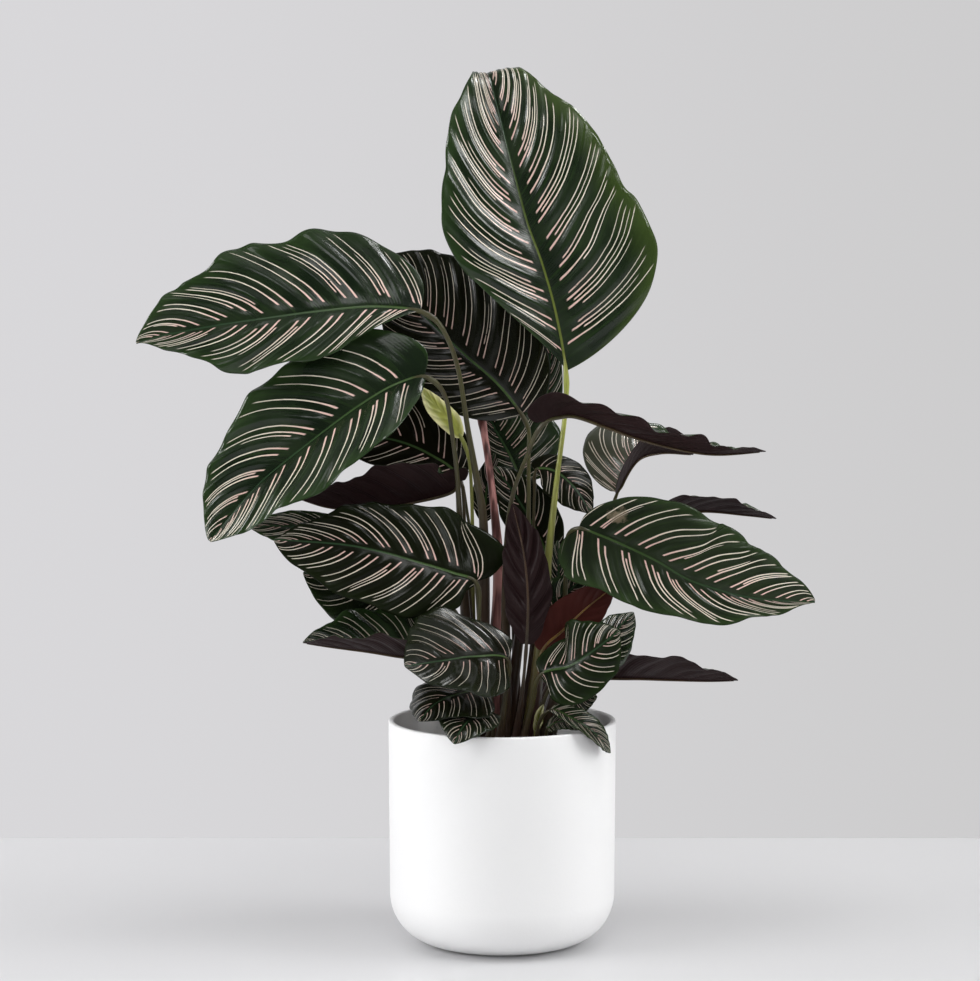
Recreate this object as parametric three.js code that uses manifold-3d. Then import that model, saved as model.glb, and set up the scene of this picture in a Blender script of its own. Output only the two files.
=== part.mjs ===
// Potted calathea: a pinstriped prayer plant in a white, round-bottomed cylindrical pot.
// Millimetres, Z up. The origin is the centre of the pot's foot and -Y is the front of the plant.
import * as THREE from "three";
import Module from "manifold-3d";

const manifold = await Module();
manifold.setup();

// ---- driving dimensions ----------------------------------------------------------------------

const POT = {
  radius: 90, // outside, at the rim
  height: 177.5,
  corner: 39, // rounding between the wall and the foot
  wall: 4.2,
  floor: 6,
  taper: 0.8, // how much narrower the wall is above the rounding
  lip: 1.4, // rounding of the rim
  segments: 48,
};
const SOIL = {
  edge: 147, // height at the wall
  mound: 6, // how much higher it is in the middle
  worn: 1.6, // rounding of its upper edge
  gap: 0.3, // to the pot's inside
  segments: 40,
};
const HOLE = { depth: 20, gap: 0.35 }; // a stem's hole in the soil, and the air round the stem
const BLADE = {
  thickness: 0.9,
  sweep: 0.55, // how far a side vein runs towards the tip before it reaches the margin
};
// Outline of half a blade: place of the widest part, bluntness of the base and of the tip (0.5 is
// round, 1 pointed) and how far the base's corner reaches back past the stem, as a share of length.
const PLAIN_HALF = [0.42, 0.6, 0.85, 0.07];
const PLAIN_SHAPE = [PLAIN_HALF, PLAIN_HALF];

// Each leaf: where its stem stands in the soil, points that the stem and then the midrib pass
// through, half widths left and right of the midrib, the ways its upper face looks from the base to
// the tip, how far each half is folded up and how much it curls (degrees), its waves (depth, number,
// start), the radius of its stem and the numbers of columns, blade rows and stem rows.
const LEAVES = {
  leaf_top: {
    root: [20, 0],
    stem: [[31, -2, 241], [36, -2, 304], [43, 0, 368], [50, 6, 426]],
    blade: [
      [50, 8, 453], [42, 10, 499], [31, 12, 538], [20, 15, 568], [9, 20, 609], [-3, 30, 656],
      [-11, 46, 686], [-17, 76, 683],
    ],
    half: [68, 89],
    shape: [[0.48, 1.3, 1.6, 0], [0.28, 0.9, 0.95, 0]],
    faces: [[-0.1, -1, 0.25], [-0.1, -0.9, 0.4], [0, -0.4, 1]],
    fold: [[30, 30], [14, 14]],
    curl: [-20, -18],
    wave: [4, 3, 0.1],
    radius: 2.6,
    detail: [5, 16, 7],
  },
  leaf_upper_left: {
    root: [-17, 8],
    stem: [[-15, 10, 335], [-20, 8, 367], [-27, 6, 407], [-35, 2, 456], [-43, 0, 479], [-51, 0, 492]],
    blade: [
      [-64, 0, 500], [-99, -6, 504], [-139, -12, 501], [-179, -18, 496], [-221, -24, 490],
      [-263, -28, 482], [-284, -30, 476],
    ],
    half: [42, 67],
    shape: [[0.57, 1.1, 1.5, 0], [0.33, 0.36, 0.8, 0]],
    faces: [[0.1, -0.8, 0.6], [-0.1, -0.9, 0.4], [-0.2, -1, 0.2]],
    fold: [[5, 5], [12, 12]],
    curl: [-20, -15],
    wave: [5, 3.4, 0.05],
    radius: 2.6,
    detail: [5, 16, 9],
  },
  leaf_left: {
    root: [-22, -4],
    stem: [[-32, 12, 303], [-36, 8, 375], [-40, 4, 407], [-44, 0, 431], [-50, -2, 442]],
    blade: [
      [-61, -4, 449], [-82, -10, 444], [-109, -18, 429], [-150, -28, 399], [-189, -36, 367],
      [-227, -42, 323],
    ],
    half: [52, 62],
    shape: [[0.45, 0.7, 0.8, 0.03], [0.34, 0.42, 0.72, 0.02]],
    faces: [[-0.3, -0.87, 0.4], [-0.35, -0.85, 0.4]],
    fold: [[25, 25], [25, 25]],
    curl: [-15, -15],
    wave: [3, 3, 0.5],
    radius: 2.4,
    detail: [5, 15, 8],
  },
  leaf_back_centre: {
    root: [4, 26],
    stem: [[20, 24, 302], [21, 20, 350], [21, 24, 388], [21, 28, 405]],
    blade: [[15, 30, 418], [-3, 30, 441], [-30, 32, 465], [-65, 40, 498], [-104, 54, 536]],
    half: [46, 62],
    shape: [[0.38, 0.6, 0.9, 0.02], [0.45, 0.5, 0.6, 0.05]],
    faces: [[0, -1, 0.1], [0, -1, 0.1]],
    fold: [[8, 8], [8, 8]],
    curl: [-15, -15],
    wave: [3, 2, 0.2],
    radius: 2.2,
    detail: [5, 12, 6],
  },
  leaf_upper_right: {
    root: [3, -5],
    stem: [[3, 3, 296], [5, 1, 336], [9, -6, 359], [15, -16, 377], [21, -26, 393], [25, -32, 404]],
    blade: [
      [34, -36, 416], [51, -39, 422], [81, -42, 413], [103, -45, 405], [136, -48, 396],
      [163, -50, 392], [203, -52, 394],
    ],
    half: [32, 42],
    shape: [[0.4, 0.5, 0.85, 0.05], [0.38, 0.5, 0.8, 0.12]],
    faces: [[0, 0, 1], [0.1, 0, 1]],
    fold: [[12, 12], [50, 22, 21, 21, 20, 20, 19, 18]],
    curl: [0, 0],
    wave: [3, 3, 0.2],
    radius: 2.2,
    detail: [5, 14, 9],
  },
  leaf_right_back: {
    root: [30, 27],
    stem: [[55, 40, 235], [79, 52, 298], [89, 54, 340]],
    blade: [[93, 54, 353], [109, 58, 379], [128, 68, 384], [156, 86, 381]],
    half: [52, 32],
    faces: [[-0.3, -0.6, 0.7], [0, -0.3, 1]],
    fold: [[15, 15], [62, 62]],
    curl: [0, 0],
    wave: [2, 2, 0.1],
    radius: 1.6,
    detail: [5, 10, 6],
  },
  leaf_right: {
    root: [29, -8],
    stem: [[43, -4, 201], [47, 0, 241], [50, 2, 280], [50, 1, 310], [53, -2, 325]],
    blade: [
      [60, -8, 330], [77, -14, 325], [99, -20, 316], [121, -28, 306], [144, -36, 293],
      [166, -42, 286], [186, -46, 281], [215, -50, 278], [242, -52, 277],
    ],
    half: [58, 46],
    shape: [[0.42, 0.45, 0.7, 0], [0.16, 0.5, 1.2, 0.13]],
    faces: [[0, -0.8, 0.6], [0.1, -0.8, 0.55]],
    fold: [[8, 8], [5, 5]],
    curl: [-15, -15],
    wave: [3, 4, 0.4],
    radius: 2.4,
    detail: [5, 17, 7],
  },
  leaf_right_behind: {
    root: [36, 8],
    stem: [[46, 18, 222], [70, 32, 301]],
    blade: [[93, 38, 326], [127, 44, 333], [159, 46, 339], [195, 44, 336], [220, 40, 333]],
    half: [38, 38],
    faces: [[0, 0, 1], [0, 0, 1]],
    fold: [[10, 10], [25, 25]],
    curl: [0, 0],
    wave: [2, 3, 0.1],
    radius: 1.8,
    detail: [5, 11, 6],
  },
  leaf_left_back: {
    root: [-13, 19],
    stem: [[-19, 32, 268], [-27, 42, 332]],
    blade: [[-36, 46, 368], [-58, 50, 384], [-86, 54, 395], [-122, 58, 398], [-155, 60, 393]],
    half: [24, 44],
    faces: [[0, -0.9, 0.4], [0, -0.9, 0.4]],
    fold: [[5, 5], [5, 5]],
    curl: [-10, -10],
    wave: [2, 2, 0.1],
    radius: 1.8,
    detail: [5, 10, 6],
  },
  leaf_left_under: {
    root: [-25, 8],
    stem: [[-26, 18, 270], [-30, 24, 334]],
    blade: [
      [-33, 26, 364], [-40, 25, 357], [-69, 22, 349], [-110, 18, 343], [-138, 14, 345],
      [-162, 12, 352],
    ],
    half: [44, 24],
    faces: [[0, 0, 1], [0, 0, 1]],
    fold: [[56, 44], [8, 8]],
    curl: [0, 0],
    wave: [2, 3, 0.1],
    radius: 1.8,
    detail: [5, 12, 6],
  },
  leaf_left_front: {
    root: [-24, -16],
    stem: [[-22, -22, 228], [-18, -18, 267]],
    blade: [
      [-21, -18, 289], [-39, -24, 297], [-68, -34, 307], [-89, -42, 314], [-118, -50, 321],
      [-153, -58, 325], [-176, -62, 327],
    ],
    half: [46, 50],
    shape: [[0.42, 0.6, 0.75, 0.05], [0.18, 0.42, 1, 0.07]],
    faces: [[0, -0.85, 0.5], [-0.1, -0.9, 0.45]],
    fold: [[0, 0], [6, 6]],
    curl: [-15, -15],
    wave: [3, 3, 0.2],
    radius: 2.2,
    detail: [5, 15, 6],
  },
  leaf_low_left: {
    root: [-33, -6],
    stem: [[-32, -6, 210], [-32, 2, 248]],
    blade: [[-40, 5, 266], [-65, 4, 274], [-100, 0, 282], [-136, -4, 289], [-157, -6, 295]],
    half: [42, 20],
    faces: [[0, -0.9, 0.45], [0, -0.9, 0.45]],
    fold: [[0, 0], [0, 0]],
    curl: [-10, -10],
    wave: [2, 2, 0.6],
    radius: 1.8,
    detail: [5, 10, 5],
  },
  leaf_low_left_edge: {
    root: [-34, -17],
    stem: [[-37, -20, 192], [-33, -26, 217]],
    blade: [[-39, -32, 232], [-72, -40, 233], [-104, -44, 238], [-134, -47, 242], [-155, -48, 245]],
    half: [36, 42],
    faces: [[0, 0, 1], [0, 0, 1]],
    fold: [[28, 28], [54, 54]],
    curl: [0, 0],
    wave: [2, 3, 0.1],
    radius: 1.7,
    detail: [5, 10, 5],
  },
  leaf_front_left: {
    root: [-4, -34],
    stem: [[2, -38, 199]],
    blade: [[4, -50, 232], [-21, -74, 238], [-45, -96, 238], [-74, -114, 236]],
    half: [38, 54],
    faces: [[0, -0.75, 0.66], [-0.2, -0.7, 0.7]],
    fold: [[0, 0], [10, 10]],
    curl: [-20, -20],
    wave: [2, 2, 0.2],
    radius: 2,
    detail: [5, 12, 5],
  },
  leaf_front_left_low: {
    root: [-14, -30],
    stem: [[-8, -34, 186]],
    blade: [[-12, -44, 206], [-33, -60, 207], [-52, -74, 201], [-64, -84, 189]],
    half: [34, 42],
    faces: [[-0.1, -0.5, 0.9], [-0.5, -0.5, 0.7]],
    fold: [[0, 0], [0, 0]],
    curl: [-20, -20],
    wave: [1, 2, 0.2],
    radius: 1.7,
    detail: [5, 10, 5],
  },
  leaf_over_rim: {
    root: [-8, -42],
    stem: [[-7, -48, 183]],
    blade: [[-8, -58, 192], [-20, -74, 192], [-30, -94, 187], [-37, -103, 175]],
    half: [20, 28],
    faces: [[0, -0.3, 1], [-0.2, -0.9, 0.4]],
    fold: [[0, 0], [0, 0]],
    curl: [-15, -15],
    wave: [0, 2, 0.2],
    radius: 1.5,
    detail: [5, 9, 4],
  },
  leaf_front_right: {
    root: [14, -32],
    stem: [[22, -36, 190]],
    blade: [[30, -46, 220], [51, -58, 228], [68, -66, 240], [90, -72, 258]],
    half: [34, 31],
    faces: [[0, -0.8, 0.6], [0.1, -0.9, 0.4]],
    fold: [[0, 0], [0, 0]],
    curl: [-15, -15],
    wave: [2, 2, 0.2],
    radius: 1.8,
    detail: [5, 11, 5],
  },
  leaf_right_low_glossy: {
    root: [26, -20],
    stem: [[30, -20, 188]],
    blade: [[50, -30, 226], [68, -36, 238], [85, -39, 251], [102, -40, 268]],
    half: [16, 24],
    faces: [[0, -0.9, 0.4], [0, -0.9, 0.4]],
    fold: [[0, 0], [0, 0]],
    curl: [-10, -10],
    wave: [2, 2, 0.7],
    radius: 1.6,
    detail: [5, 9, 5],
  },
  leaf_right_red: {
    root: [20, -12],
    stem: [[28, -10, 194]],
    blade: [[32, -8, 234], [47, -8, 249], [66, -8, 267], [88, -6, 284]],
    half: [20, 20],
    faces: [[0, 1, 0.15], [0, 1, 0.15]],
    fold: [[0, 0], [0, 0]],
    curl: [0, 0],
    wave: [1, 2, 0.2],
    radius: 1.6,
    detail: [5, 8, 5],
  },
  leaf_centre_upright: {
    root: [9, -17],
    stem: [[15, -19, 196]],
    blade: [[19, -22, 242], [20, -23, 275], [17, -19, 310], [8, -11, 350]],
    half: [19, 19],
    faces: [[0, 1, 0.1], [0, 1, 0.4]],
    fold: [[12, 12], [12, 12]],
    curl: [0, 0],
    wave: [1, 3, 0.2],
    radius: 1.7,
    detail: [5, 10, 5],
  },
  leaf_right_rim: {
    root: [26, -42],
    stem: [[29, -46, 183]],
    blade: [[38, -52, 193], [56, -58, 186], [71, -58, 176], [84, -50, 159]],
    half: [12, 16],
    faces: [[0, -0.4, 1], [0.6, -0.7, 0.5]],
    fold: [[20, 20], [20, 20]],
    curl: [0, 0],
    wave: [0, 2, 0.2],
    radius: 1.5,
    detail: [5, 9, 4],
  },
  leaf_right_low_small: {
    root: [38, -24],
    stem: [[44, -26, 179]],
    blade: [[50, -30, 193], [61, -34, 198], [74, -38, 201]],
    half: [14, 14],
    faces: [[0, -0.7, 0.7], [0, -0.7, 0.7]],
    fold: [[0, 0], [0, 0]],
    curl: [0, 0],
    wave: [0, 2, 0.2],
    radius: 1.3,
    detail: [3, 6, 4],
  },
  leaf_right_low: {
    root: [38, -12],
    stem: [[42, -10, 182], [54, -2, 201]],
    blade: [[68, 4, 209], [101, -2, 211], [132, -10, 211], [163, -18, 211], [185, -24, 212]],
    half: [38, 38],
    faces: [[0, 0, 1], [0.1, 0, 1]],
    fold: [[10, 10], [36, 36]],
    curl: [0, 0],
    wave: [2, 3, 0.3],
    radius: 1.7,
    detail: [5, 11, 5],
  },
  leaf_centre_back: {
    root: [15, 14],
    stem: [[25, 20, 238], [25, 28, 317], [26, 31, 357]],
    blade: [[27, 32, 373], [40, 30, 373], [56, 26, 361], [71, 22, 339]],
    half: [20, 22],
    faces: [[0.2, -0.8, 0.6], [0.4, -0.8, 0.4]],
    fold: [[0, 0], [0, 0]],
    curl: [-10, -10],
    wave: [1, 2, 0.2],
    radius: 1.6,
    detail: [5, 9, 6],
  },
  leaf_back_green: {
    root: [26, 28],
    stem: [[34, 34, 236], [39, 38, 276]],
    blade: [[37, 40, 300], [27, 42, 324], [13, 43, 348], [-6, 44, 375]],
    half: [20, 24],
    faces: [[-0.2, -0.9, 0.4], [0, -0.9, 0.4]],
    fold: [[0, 0], [0, 0]],
    curl: [-10, -10],
    wave: [1, 2, 0.2],
    radius: 1.4,
    detail: [5, 8, 6],
  },
  leaf_back_striped: {
    root: [-2, 14],
    stem: [[-2, 34, 236], [0, 52, 298], [10, 58, 338]],
    blade: [[14, 60, 362], [7, 66, 381], [-5, 72, 402], [-16, 76, 423]],
    half: [14, 46],
    faces: [[0, -0.9, 0.3], [0, -0.9, 0.3]],
    fold: [[0, 0], [0, 0]],
    curl: [-10, -10],
    wave: [1, 2, 0.2],
    radius: 1.6,
    detail: [5, 9, 6],
  },
  leaf_back_small: {
    root: [-4, 34],
    stem: [[-11, 44, 235], [-14, 54, 298]],
    blade: [[-14, 58, 330], [-13, 58, 350], [-10, 58, 367], [-6, 58, 385]],
    half: [11, 11],
    faces: [[0, -1, 0.2], [0, -1, 0.2]],
    fold: [[0, 0], [0, 0]],
    curl: [0, 0],
    wave: [0, 2, 0.2],
    radius: 1.3,
    detail: [3, 6, 5],
  },
  leaf_back_right_small: {
    root: [36, 20],
    stem: [[53, 24, 221], [52, 27, 245]],
    blade: [[49, 28, 259], [46, 28, 277], [45, 28, 296], [44, 28, 317]],
    half: [11, 11],
    faces: [[0.2, -1, 0.2], [0.2, -1, 0.2]],
    fold: [[0, 0], [0, 0]],
    curl: [0, 0],
    wave: [0, 2, 0.2],
    radius: 1.3,
    detail: [3, 6, 5],
  },
  leaf_yellow_sliver: {
    root: [-24, 24],
    stem: [[-24, 20, 270], [-24, 18, 348], [-27, 17, 386]],
    blade: [[-33, 16, 401], [-41, 15, 414], [-52, 14, 425], [-64, 14, 440]],
    half: [10, 8],
    faces: [[0, -0.9, 0.4], [0, -0.9, 0.4]],
    fold: [[0, 0], [0, 0]],
    curl: [0, 0],
    wave: [0, 2, 0.2],
    radius: 1.9,
    detail: [3, 8, 6],
    young: true,
  },
  leaf_back_upper: {
    root: [14, 24],
    stem: [[10, 46, 267], [16, 80, 344], [26, 86, 385]],
    blade: [[31, 87, 401], [36, 87, 425], [39, 86, 454], [39, 86, 482]],
    half: [22, 12],
    faces: [[0, -1, 0.2], [0, -1, 0.3]],
    fold: [[0, 0], [0, 0]],
    curl: [0, 0],
    wave: [1, 2, 0.2],
    radius: 1.5,
    detail: [5, 8, 6],
  },
  leaf_new_rolled: {
    root: [24, -32],
    stem: [[26, -34, 168]],
    blade: [[26, -35, 174], [28, -35, 181], [29, -36, 187], [32, -36, 195]],
    half: [5, 5],
    faces: [[0, -1, 0.2], [0, -1, 0.2]],
    fold: [[45, 45], [45, 45]],
    curl: [0, 0],
    wave: [0, 2, 0.2],
    radius: 1.6,
    detail: [3, 5, 3],
    young: true,
  },
  leaf_in_pot: {
    root: [34, -36],
    stem: [[34, -38, 170]],
    blade: [[35, -40, 176], [42, -44, 182], [51, -50, 183], [60, -56, 178]],
    half: [10, 10],
    faces: [[0, -0.6, 0.8], [0, -0.6, 0.8]],
    fold: [[0, 0], [0, 0]],
    curl: [0, 0],
    wave: [0, 2, 0.2],
    radius: 1.3,
    detail: [3, 6, 3],
  },
  leaf_left_tip: {
    root: [-36, 6],
    stem: [[-48, 12, 223], [-61, 22, 270]],
    blade: [[-81, 26, 293], [-121, 20, 314], [-160, 8, 329], [-200, -2, 331]],
    half: [26, 20],
    faces: [[0, -0.8, 0.6], [0, -0.8, 0.6]],
    fold: [[0, 0], [0, 0]],
    curl: [0, 0],
    wave: [1, 2, 0.2],
    radius: 1.5,
    detail: [3, 8, 5],
  },
  leaf_right_inner: {
    root: [12, 4],
    stem: [[26, 6, 192], [32, 8, 223]],
    blade: [[34, 8, 243], [40, 8, 262], [51, 9, 276], [66, 10, 291]],
    half: [20, 24],
    faces: [[0, -1, 0.1], [0, -1, 0.1]],
    fold: [[0, 0], [0, 0]],
    curl: [0, 0],
    wave: [1, 2, 0.2],
    radius: 1.6,
    detail: [5, 8, 5],
  },
  leaf_rear_upper: {
    root: [-8, 22],
    stem: [[-6, 20, 206], [-2, 22, 270], [-4, 28, 317], [-10, 38, 372], [-14, 46, 399]],
    blade: [[-18, 52, 419], [-27, 58, 445], [-40, 64, 475], [-60, 72, 507]],
    half: [34, 34],
    faces: [[0, 1, 0.2], [0, 1, 0.2]],
    fold: [[8, 8], [8, 8]],
    curl: [-10, -10],
    wave: [2, 2, 0.1],
    radius: 2.9,
    detail: [4, 9, 6],
  },
  leaf_rear_left: {
    root: [-24, 40],
    stem: [[-26, 62, 232]],
    blade: [[-37, 78, 268], [-67, 90, 284], [-106, 96, 297], [-151, 94, 304]],
    half: [28, 30],
    faces: [[0, 1, 0.4], [0, 1, 0.4]],
    fold: [[8, 8], [8, 8]],
    curl: [-10, -10],
    wave: [2, 2, 0.3],
    radius: 1.9,
    detail: [4, 9, 4],
  },
  leaf_rear_right: {
    root: [22, 44],
    stem: [[51, 62, 224]],
    blade: [[73, 78, 271], [105, 88, 289], [149, 94, 287], [202, 92, 268]],
    half: [28, 28],
    faces: [[0, 1, 0.4], [0, 1, 0.4]],
    fold: [[8, 8], [8, 8]],
    curl: [-10, -10],
    wave: [2, 2, 0.3],
    radius: 1.9,
    detail: [4, 9, 4],
  },
  leaf_rear_low_left: {
    root: [-20, 58],
    stem: [[-16, 64, 170]],
    blade: [[-21, 70, 190], [-36, 82, 206], [-51, 90, 218], [-64, 92, 225]],
    half: [24, 24],
    faces: [[0, 1, 0.6], [0, 1, 0.6]],
    fold: [[6, 6], [6, 6]],
    curl: [-10, -10],
    wave: [1, 2, 0.3],
    radius: 1.6,
    detail: [4, 7, 3],
  },
  leaf_rear_low_right: {
    root: [16, 60],
    stem: [[23, 64, 170]],
    blade: [[28, 70, 190], [44, 82, 208], [64, 90, 222], [84, 92, 228]],
    half: [24, 24],
    faces: [[0, 1, 0.6], [0, 1, 0.6]],
    fold: [[6, 6], [6, 6]],
    curl: [-10, -10],
    wave: [1, 2, 0.3],
    radius: 1.6,
    detail: [4, 7, 3],
  },
};

// ---- small helpers ---------------------------------------------------------------------------

const vector = (p) => new THREE.Vector3(p[0], p[1], p[2]);
const radians = THREE.MathUtils.degToRad;
const mix = (a, b, t) => a + (b - a) * t;

function material(color, roughness) {
  return new THREE.MeshStandardMaterial({ color, roughness, metalness: 0 });
}

const MATERIALS = {
  ceramic: material(0xf4f3f2, 0.45),
  earth: material(0x2e231c, 0.95),
  leaf: material(0x21402a, 0.42),
  young: material(0x7f8f4a, 0.45),
};

// A closed body through rings of equally many points, with a fan over the first and the last ring.
// From the column "turn" on, the four-cornered faces are split along the other diagonal.
function loft(rings, turn = Infinity) {
  const count = rings[0].length;
  const points = rings.flat();
  const faces = [];
  for (let i = 0; i + 1 < rings.length; i += 1) {
    for (let j = 0; j < count; j += 1) {
      const a = i * count + j;
      const b = i * count + ((j + 1) % count);
      const c = a + count;
      const d = b + count;
      if (j < turn) faces.push(a, b, d, a, d, c);
      else faces.push(a, b, c, b, d, c);
    }
  }
  for (const [ring, start] of [[rings[0], 0], [rings.at(-1), points.length - count]]) {
    const middle = ring.reduce((sum, p) => sum.add(p), new THREE.Vector3()).divideScalar(count);
    points.push(middle);
    for (let j = 0; j < count; j += 1) {
      const a = start + j;
      const b = start + ((j + 1) % count);
      if (start === 0) faces.push(points.length - 1, b, a);
      else faces.push(points.length - 1, a, b);
    }
  }
  const geometry = new THREE.BufferGeometry().setFromPoints(points);
  geometry.setIndex(faces);
  return geometry;
}

// A body of revolution about Z. The profile is a list of [radius, height] off the axis.
function lathe(profile, segments) {
  const ring = ([radius, height]) =>
    Array.from({ length: segments }, (_, k) => {
      const turn = (2 * Math.PI * k) / segments;
      return new THREE.Vector3(radius * Math.cos(turn), radius * Math.sin(turn), height);
    });
  return loft(profile.map(ring));
}

// Points of a quarter circle, from the angle "from" to "to" in degrees (0 is outwards, 90 is up).
function arc(centre, radius, from, to, steps) {
  return Array.from({ length: steps + 1 }, (_, k) => {
    const angle = radians(mix(from, to, k / steps));
    return [centre[0] + radius * Math.cos(angle), centre[1] + radius * Math.sin(angle)];
  });
}

function solid(geometry) {
  return new manifold.Manifold(
    new manifold.Mesh({
      numProp: 3,
      vertProperties: new Float32Array(geometry.attributes.position.array),
      triVerts: new Uint32Array(geometry.index.array),
    }),
  );
}

function geometryOf(body) {
  const mesh = body.getMesh();
  const geometry = new THREE.BufferGeometry();
  geometry.setAttribute("position", new THREE.BufferAttribute(mesh.vertProperties, 3));
  geometry.setIndex(new THREE.BufferAttribute(mesh.triVerts, 1));
  return geometry;
}

function named(name, geometry, look) {
  geometry.computeVertexNormals();
  const mesh = new THREE.Mesh(geometry, look);
  mesh.name = name;
  return mesh;
}

// ---- pot and soil ----------------------------------------------------------------------------

const innerRadius = POT.radius - POT.wall;
const soilRadius = innerRadius - SOIL.gap;
const innerCorner = POT.corner - POT.wall;
const innerFoot = innerRadius - POT.taper - innerCorner; // where the inside's flat bottom ends

function makePot() {
  const foot = POT.radius - POT.taper - POT.corner;
  const profile = [
    ...arc([foot, POT.corner], POT.corner, -90, 0, 8),
    ...arc([POT.radius - POT.lip, POT.height - POT.lip], POT.lip, 0, 90, 3),
    ...arc([innerRadius + POT.lip, POT.height - POT.lip], POT.lip, 90, 180, 3),
    ...arc([innerFoot, POT.floor + innerCorner], innerCorner, 0, -90, 6),
  ];
  return named("pot", lathe(profile, POT.segments), MATERIALS.ceramic);
}

// Height of the soil's surface at a place: a low, round mound.
function soilHeight(x, y) {
  const share = Math.min(Math.hypot(x, y) / soilRadius, 1);
  return SOIL.edge + SOIL.mound * (1 - share * share);
}

// The soil without its holes: it fills the pot up to a worn edge and rises to the mound.
function soilBody() {
  const bottom = POT.floor + SOIL.gap;
  const surface = [0.86, 0.66, 0.42, 0.2].map((share) => {
    const radius = soilRadius * share;
    return [radius, soilHeight(radius, 0)];
  });
  const profile = [
    ...arc([innerFoot - SOIL.gap, bottom + innerCorner], innerCorner, -90, 0, 5),
    [soilRadius - POT.taper * 0.1, SOIL.edge - SOIL.worn],
    [soilRadius - SOIL.worn, SOIL.edge],
    ...surface,
  ];
  return solid(lathe(profile, SOIL.segments));
}

function makeSoil(leaves) {
  const top = SOIL.edge + SOIL.mound + 5;
  const holes = Object.values(leaves).map((leaf) => {
    const [x, y] = leaf.root;
    const sides = 2 * leaf.detail[0];
    const radius = leaf.radius + HOLE.gap;
    const bottom = soilHeight(x, y) - HOLE.depth - HOLE.gap;
    const hole = lathe([[radius, bottom], [radius, top]], sides);
    return solid(hole).translate([x, y, 0]);
  });
  const body = soilBody().subtract(manifold.Manifold.union(holes));
  return named("soil", geometryOf(body), MATERIALS.earth);
}

// ---- leaves ----------------------------------------------------------------------------------

// The line of a leaf: up from its hole, along the stem and on along the blade's midrib.
// at(part, share) gives the point and the direction at a share of the stem or of the blade.
function leafLine(leaf) {
  const [x, y] = leaf.root;
  const ground = soilHeight(x, y);
  const start = [-HOLE.depth, -HOLE.depth / 2, 2].map((rise) => [x, y, ground + rise]);
  const given = [...start, ...leaf.stem, ...leaf.blade].map(vector);
  const curve = new THREE.CatmullRomCurve3(given, false, "centripetal");
  const steps = 20;
  const points = curve.getPoints(steps * (given.length - 1));
  const joint = steps * (start.length + leaf.stem.length);
  const lengths = [0];
  for (let i = 1; i < points.length; i += 1) {
    lengths.push(lengths[i - 1] + points[i].distanceTo(points[i - 1]));
  }
  const tangents = points.map((_, i) => {
    const after = points[Math.min(i + 2, points.length - 1)];
    return after.clone().sub(points[Math.max(i - 2, 0)]).normalize();
  });
  const range = { stem: [0, lengths[joint]], blade: [lengths[joint], lengths.at(-1)] };
  const at = (part, share) => {
    const [from, to] = range[part];
    const wanted = mix(from, to, THREE.MathUtils.clamp(share, 0, 1));
    let i = 0;
    while (i < points.length - 2 && lengths[i + 1] < wanted) i += 1;
    const t = (wanted - lengths[i]) / (lengths[i + 1] - lengths[i]);
    const point = points[i].clone().lerp(points[i + 1], t);
    const direction = tangents[i].clone().lerp(tangents[i + 1], t).normalize();
    return { point, direction };
  };
  return { at, length: range.blade[1] - range.blade[0], buried: HOLE.depth / range.stem[1] };
}

// The way the upper face looks, as a share of the blade's length: between the given directions.
function faceAt(faces, share) {
  const place = THREE.MathUtils.clamp(share, 0, 1) * (faces.length - 1);
  const i = Math.min(Math.floor(place), faces.length - 2);
  return vector(faces[i]).lerp(vector(faces[i + 1]), place - i);
}

// The fold's angle in a row: a straight mix of the given angles, which are evenly spaced.
function foldAt(angles, row) {
  const place = row * (angles.length - 1);
  const i = Math.min(Math.floor(place), angles.length - 2);
  return mix(angles[i], angles[i + 1], place - i);
}

// Half width as a share of the widest one: a rounded run up to it and a drawn-out run to the tip.
function outline([widest, base, tip], share) {
  const before = share < widest;
  const left = before ? 1 - share / widest : 1 - (1 - share) / (1 - widest);
  return Math.pow(Math.max(1 - left * left, 0), before ? base : tip);
}

// A point of the blade between its two faces. "row" runs from the base to the tip, "across" from
// -1 at the left margin through 0 on the midrib to 1 at the right margin. A row follows a side vein,
// which sweeps towards the tip on its way out. Each half is folded up at the midrib, bends like an
// arc on its way out, and ripples at its margin.
function bladePoint(leaf, line, row, across) {
  const side = across < 0 ? 0 : 1;
  const out = Math.abs(across);
  const shape = (leaf.shape || PLAIN_SHAPE)[side];
  const reach = BLADE.sweep * row * (1 - row);
  const width = outline(shape, Math.min(row + reach, 1));
  const back = shape[3] * Math.sqrt(width) * Math.pow(1 - row, 6) * out * out;
  const share = row + reach * Math.pow(out, 1.5) - back;
  const { point, direction } = line.at("blade", share);
  point.addScaledVector(direction, Math.min(share, 0) * line.length);
  const right = direction.clone().cross(faceAt(leaf.faces, share)).normalize();
  const up = right.clone().cross(direction);
  const half = Math.max(leaf.half[side] * width, 0.9);
  const fold = radians(foldAt(leaf.fold[side], row));
  const curl = radians(leaf.curl[side] || 0.1);
  const bent = half / curl;
  const [depth, waves, phase] = leaf.wave;
  const turns = 2 * Math.PI * (waves * row + phase + 0.37 * side);
  const ripple = depth * out * out * Math.sin(Math.PI * row);
  const outwards = bent * (Math.sin(fold + curl * out) - Math.sin(fold)) + 0.6 * ripple * Math.cos(turns);
  const height = bent * (Math.cos(fold) - Math.cos(fold + curl * out)) + ripple * Math.sin(turns);
  point.addScaledVector(right, Math.sign(across) * outwards);
  point.addScaledVector(up, height);
  return { point, up };
}

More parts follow.
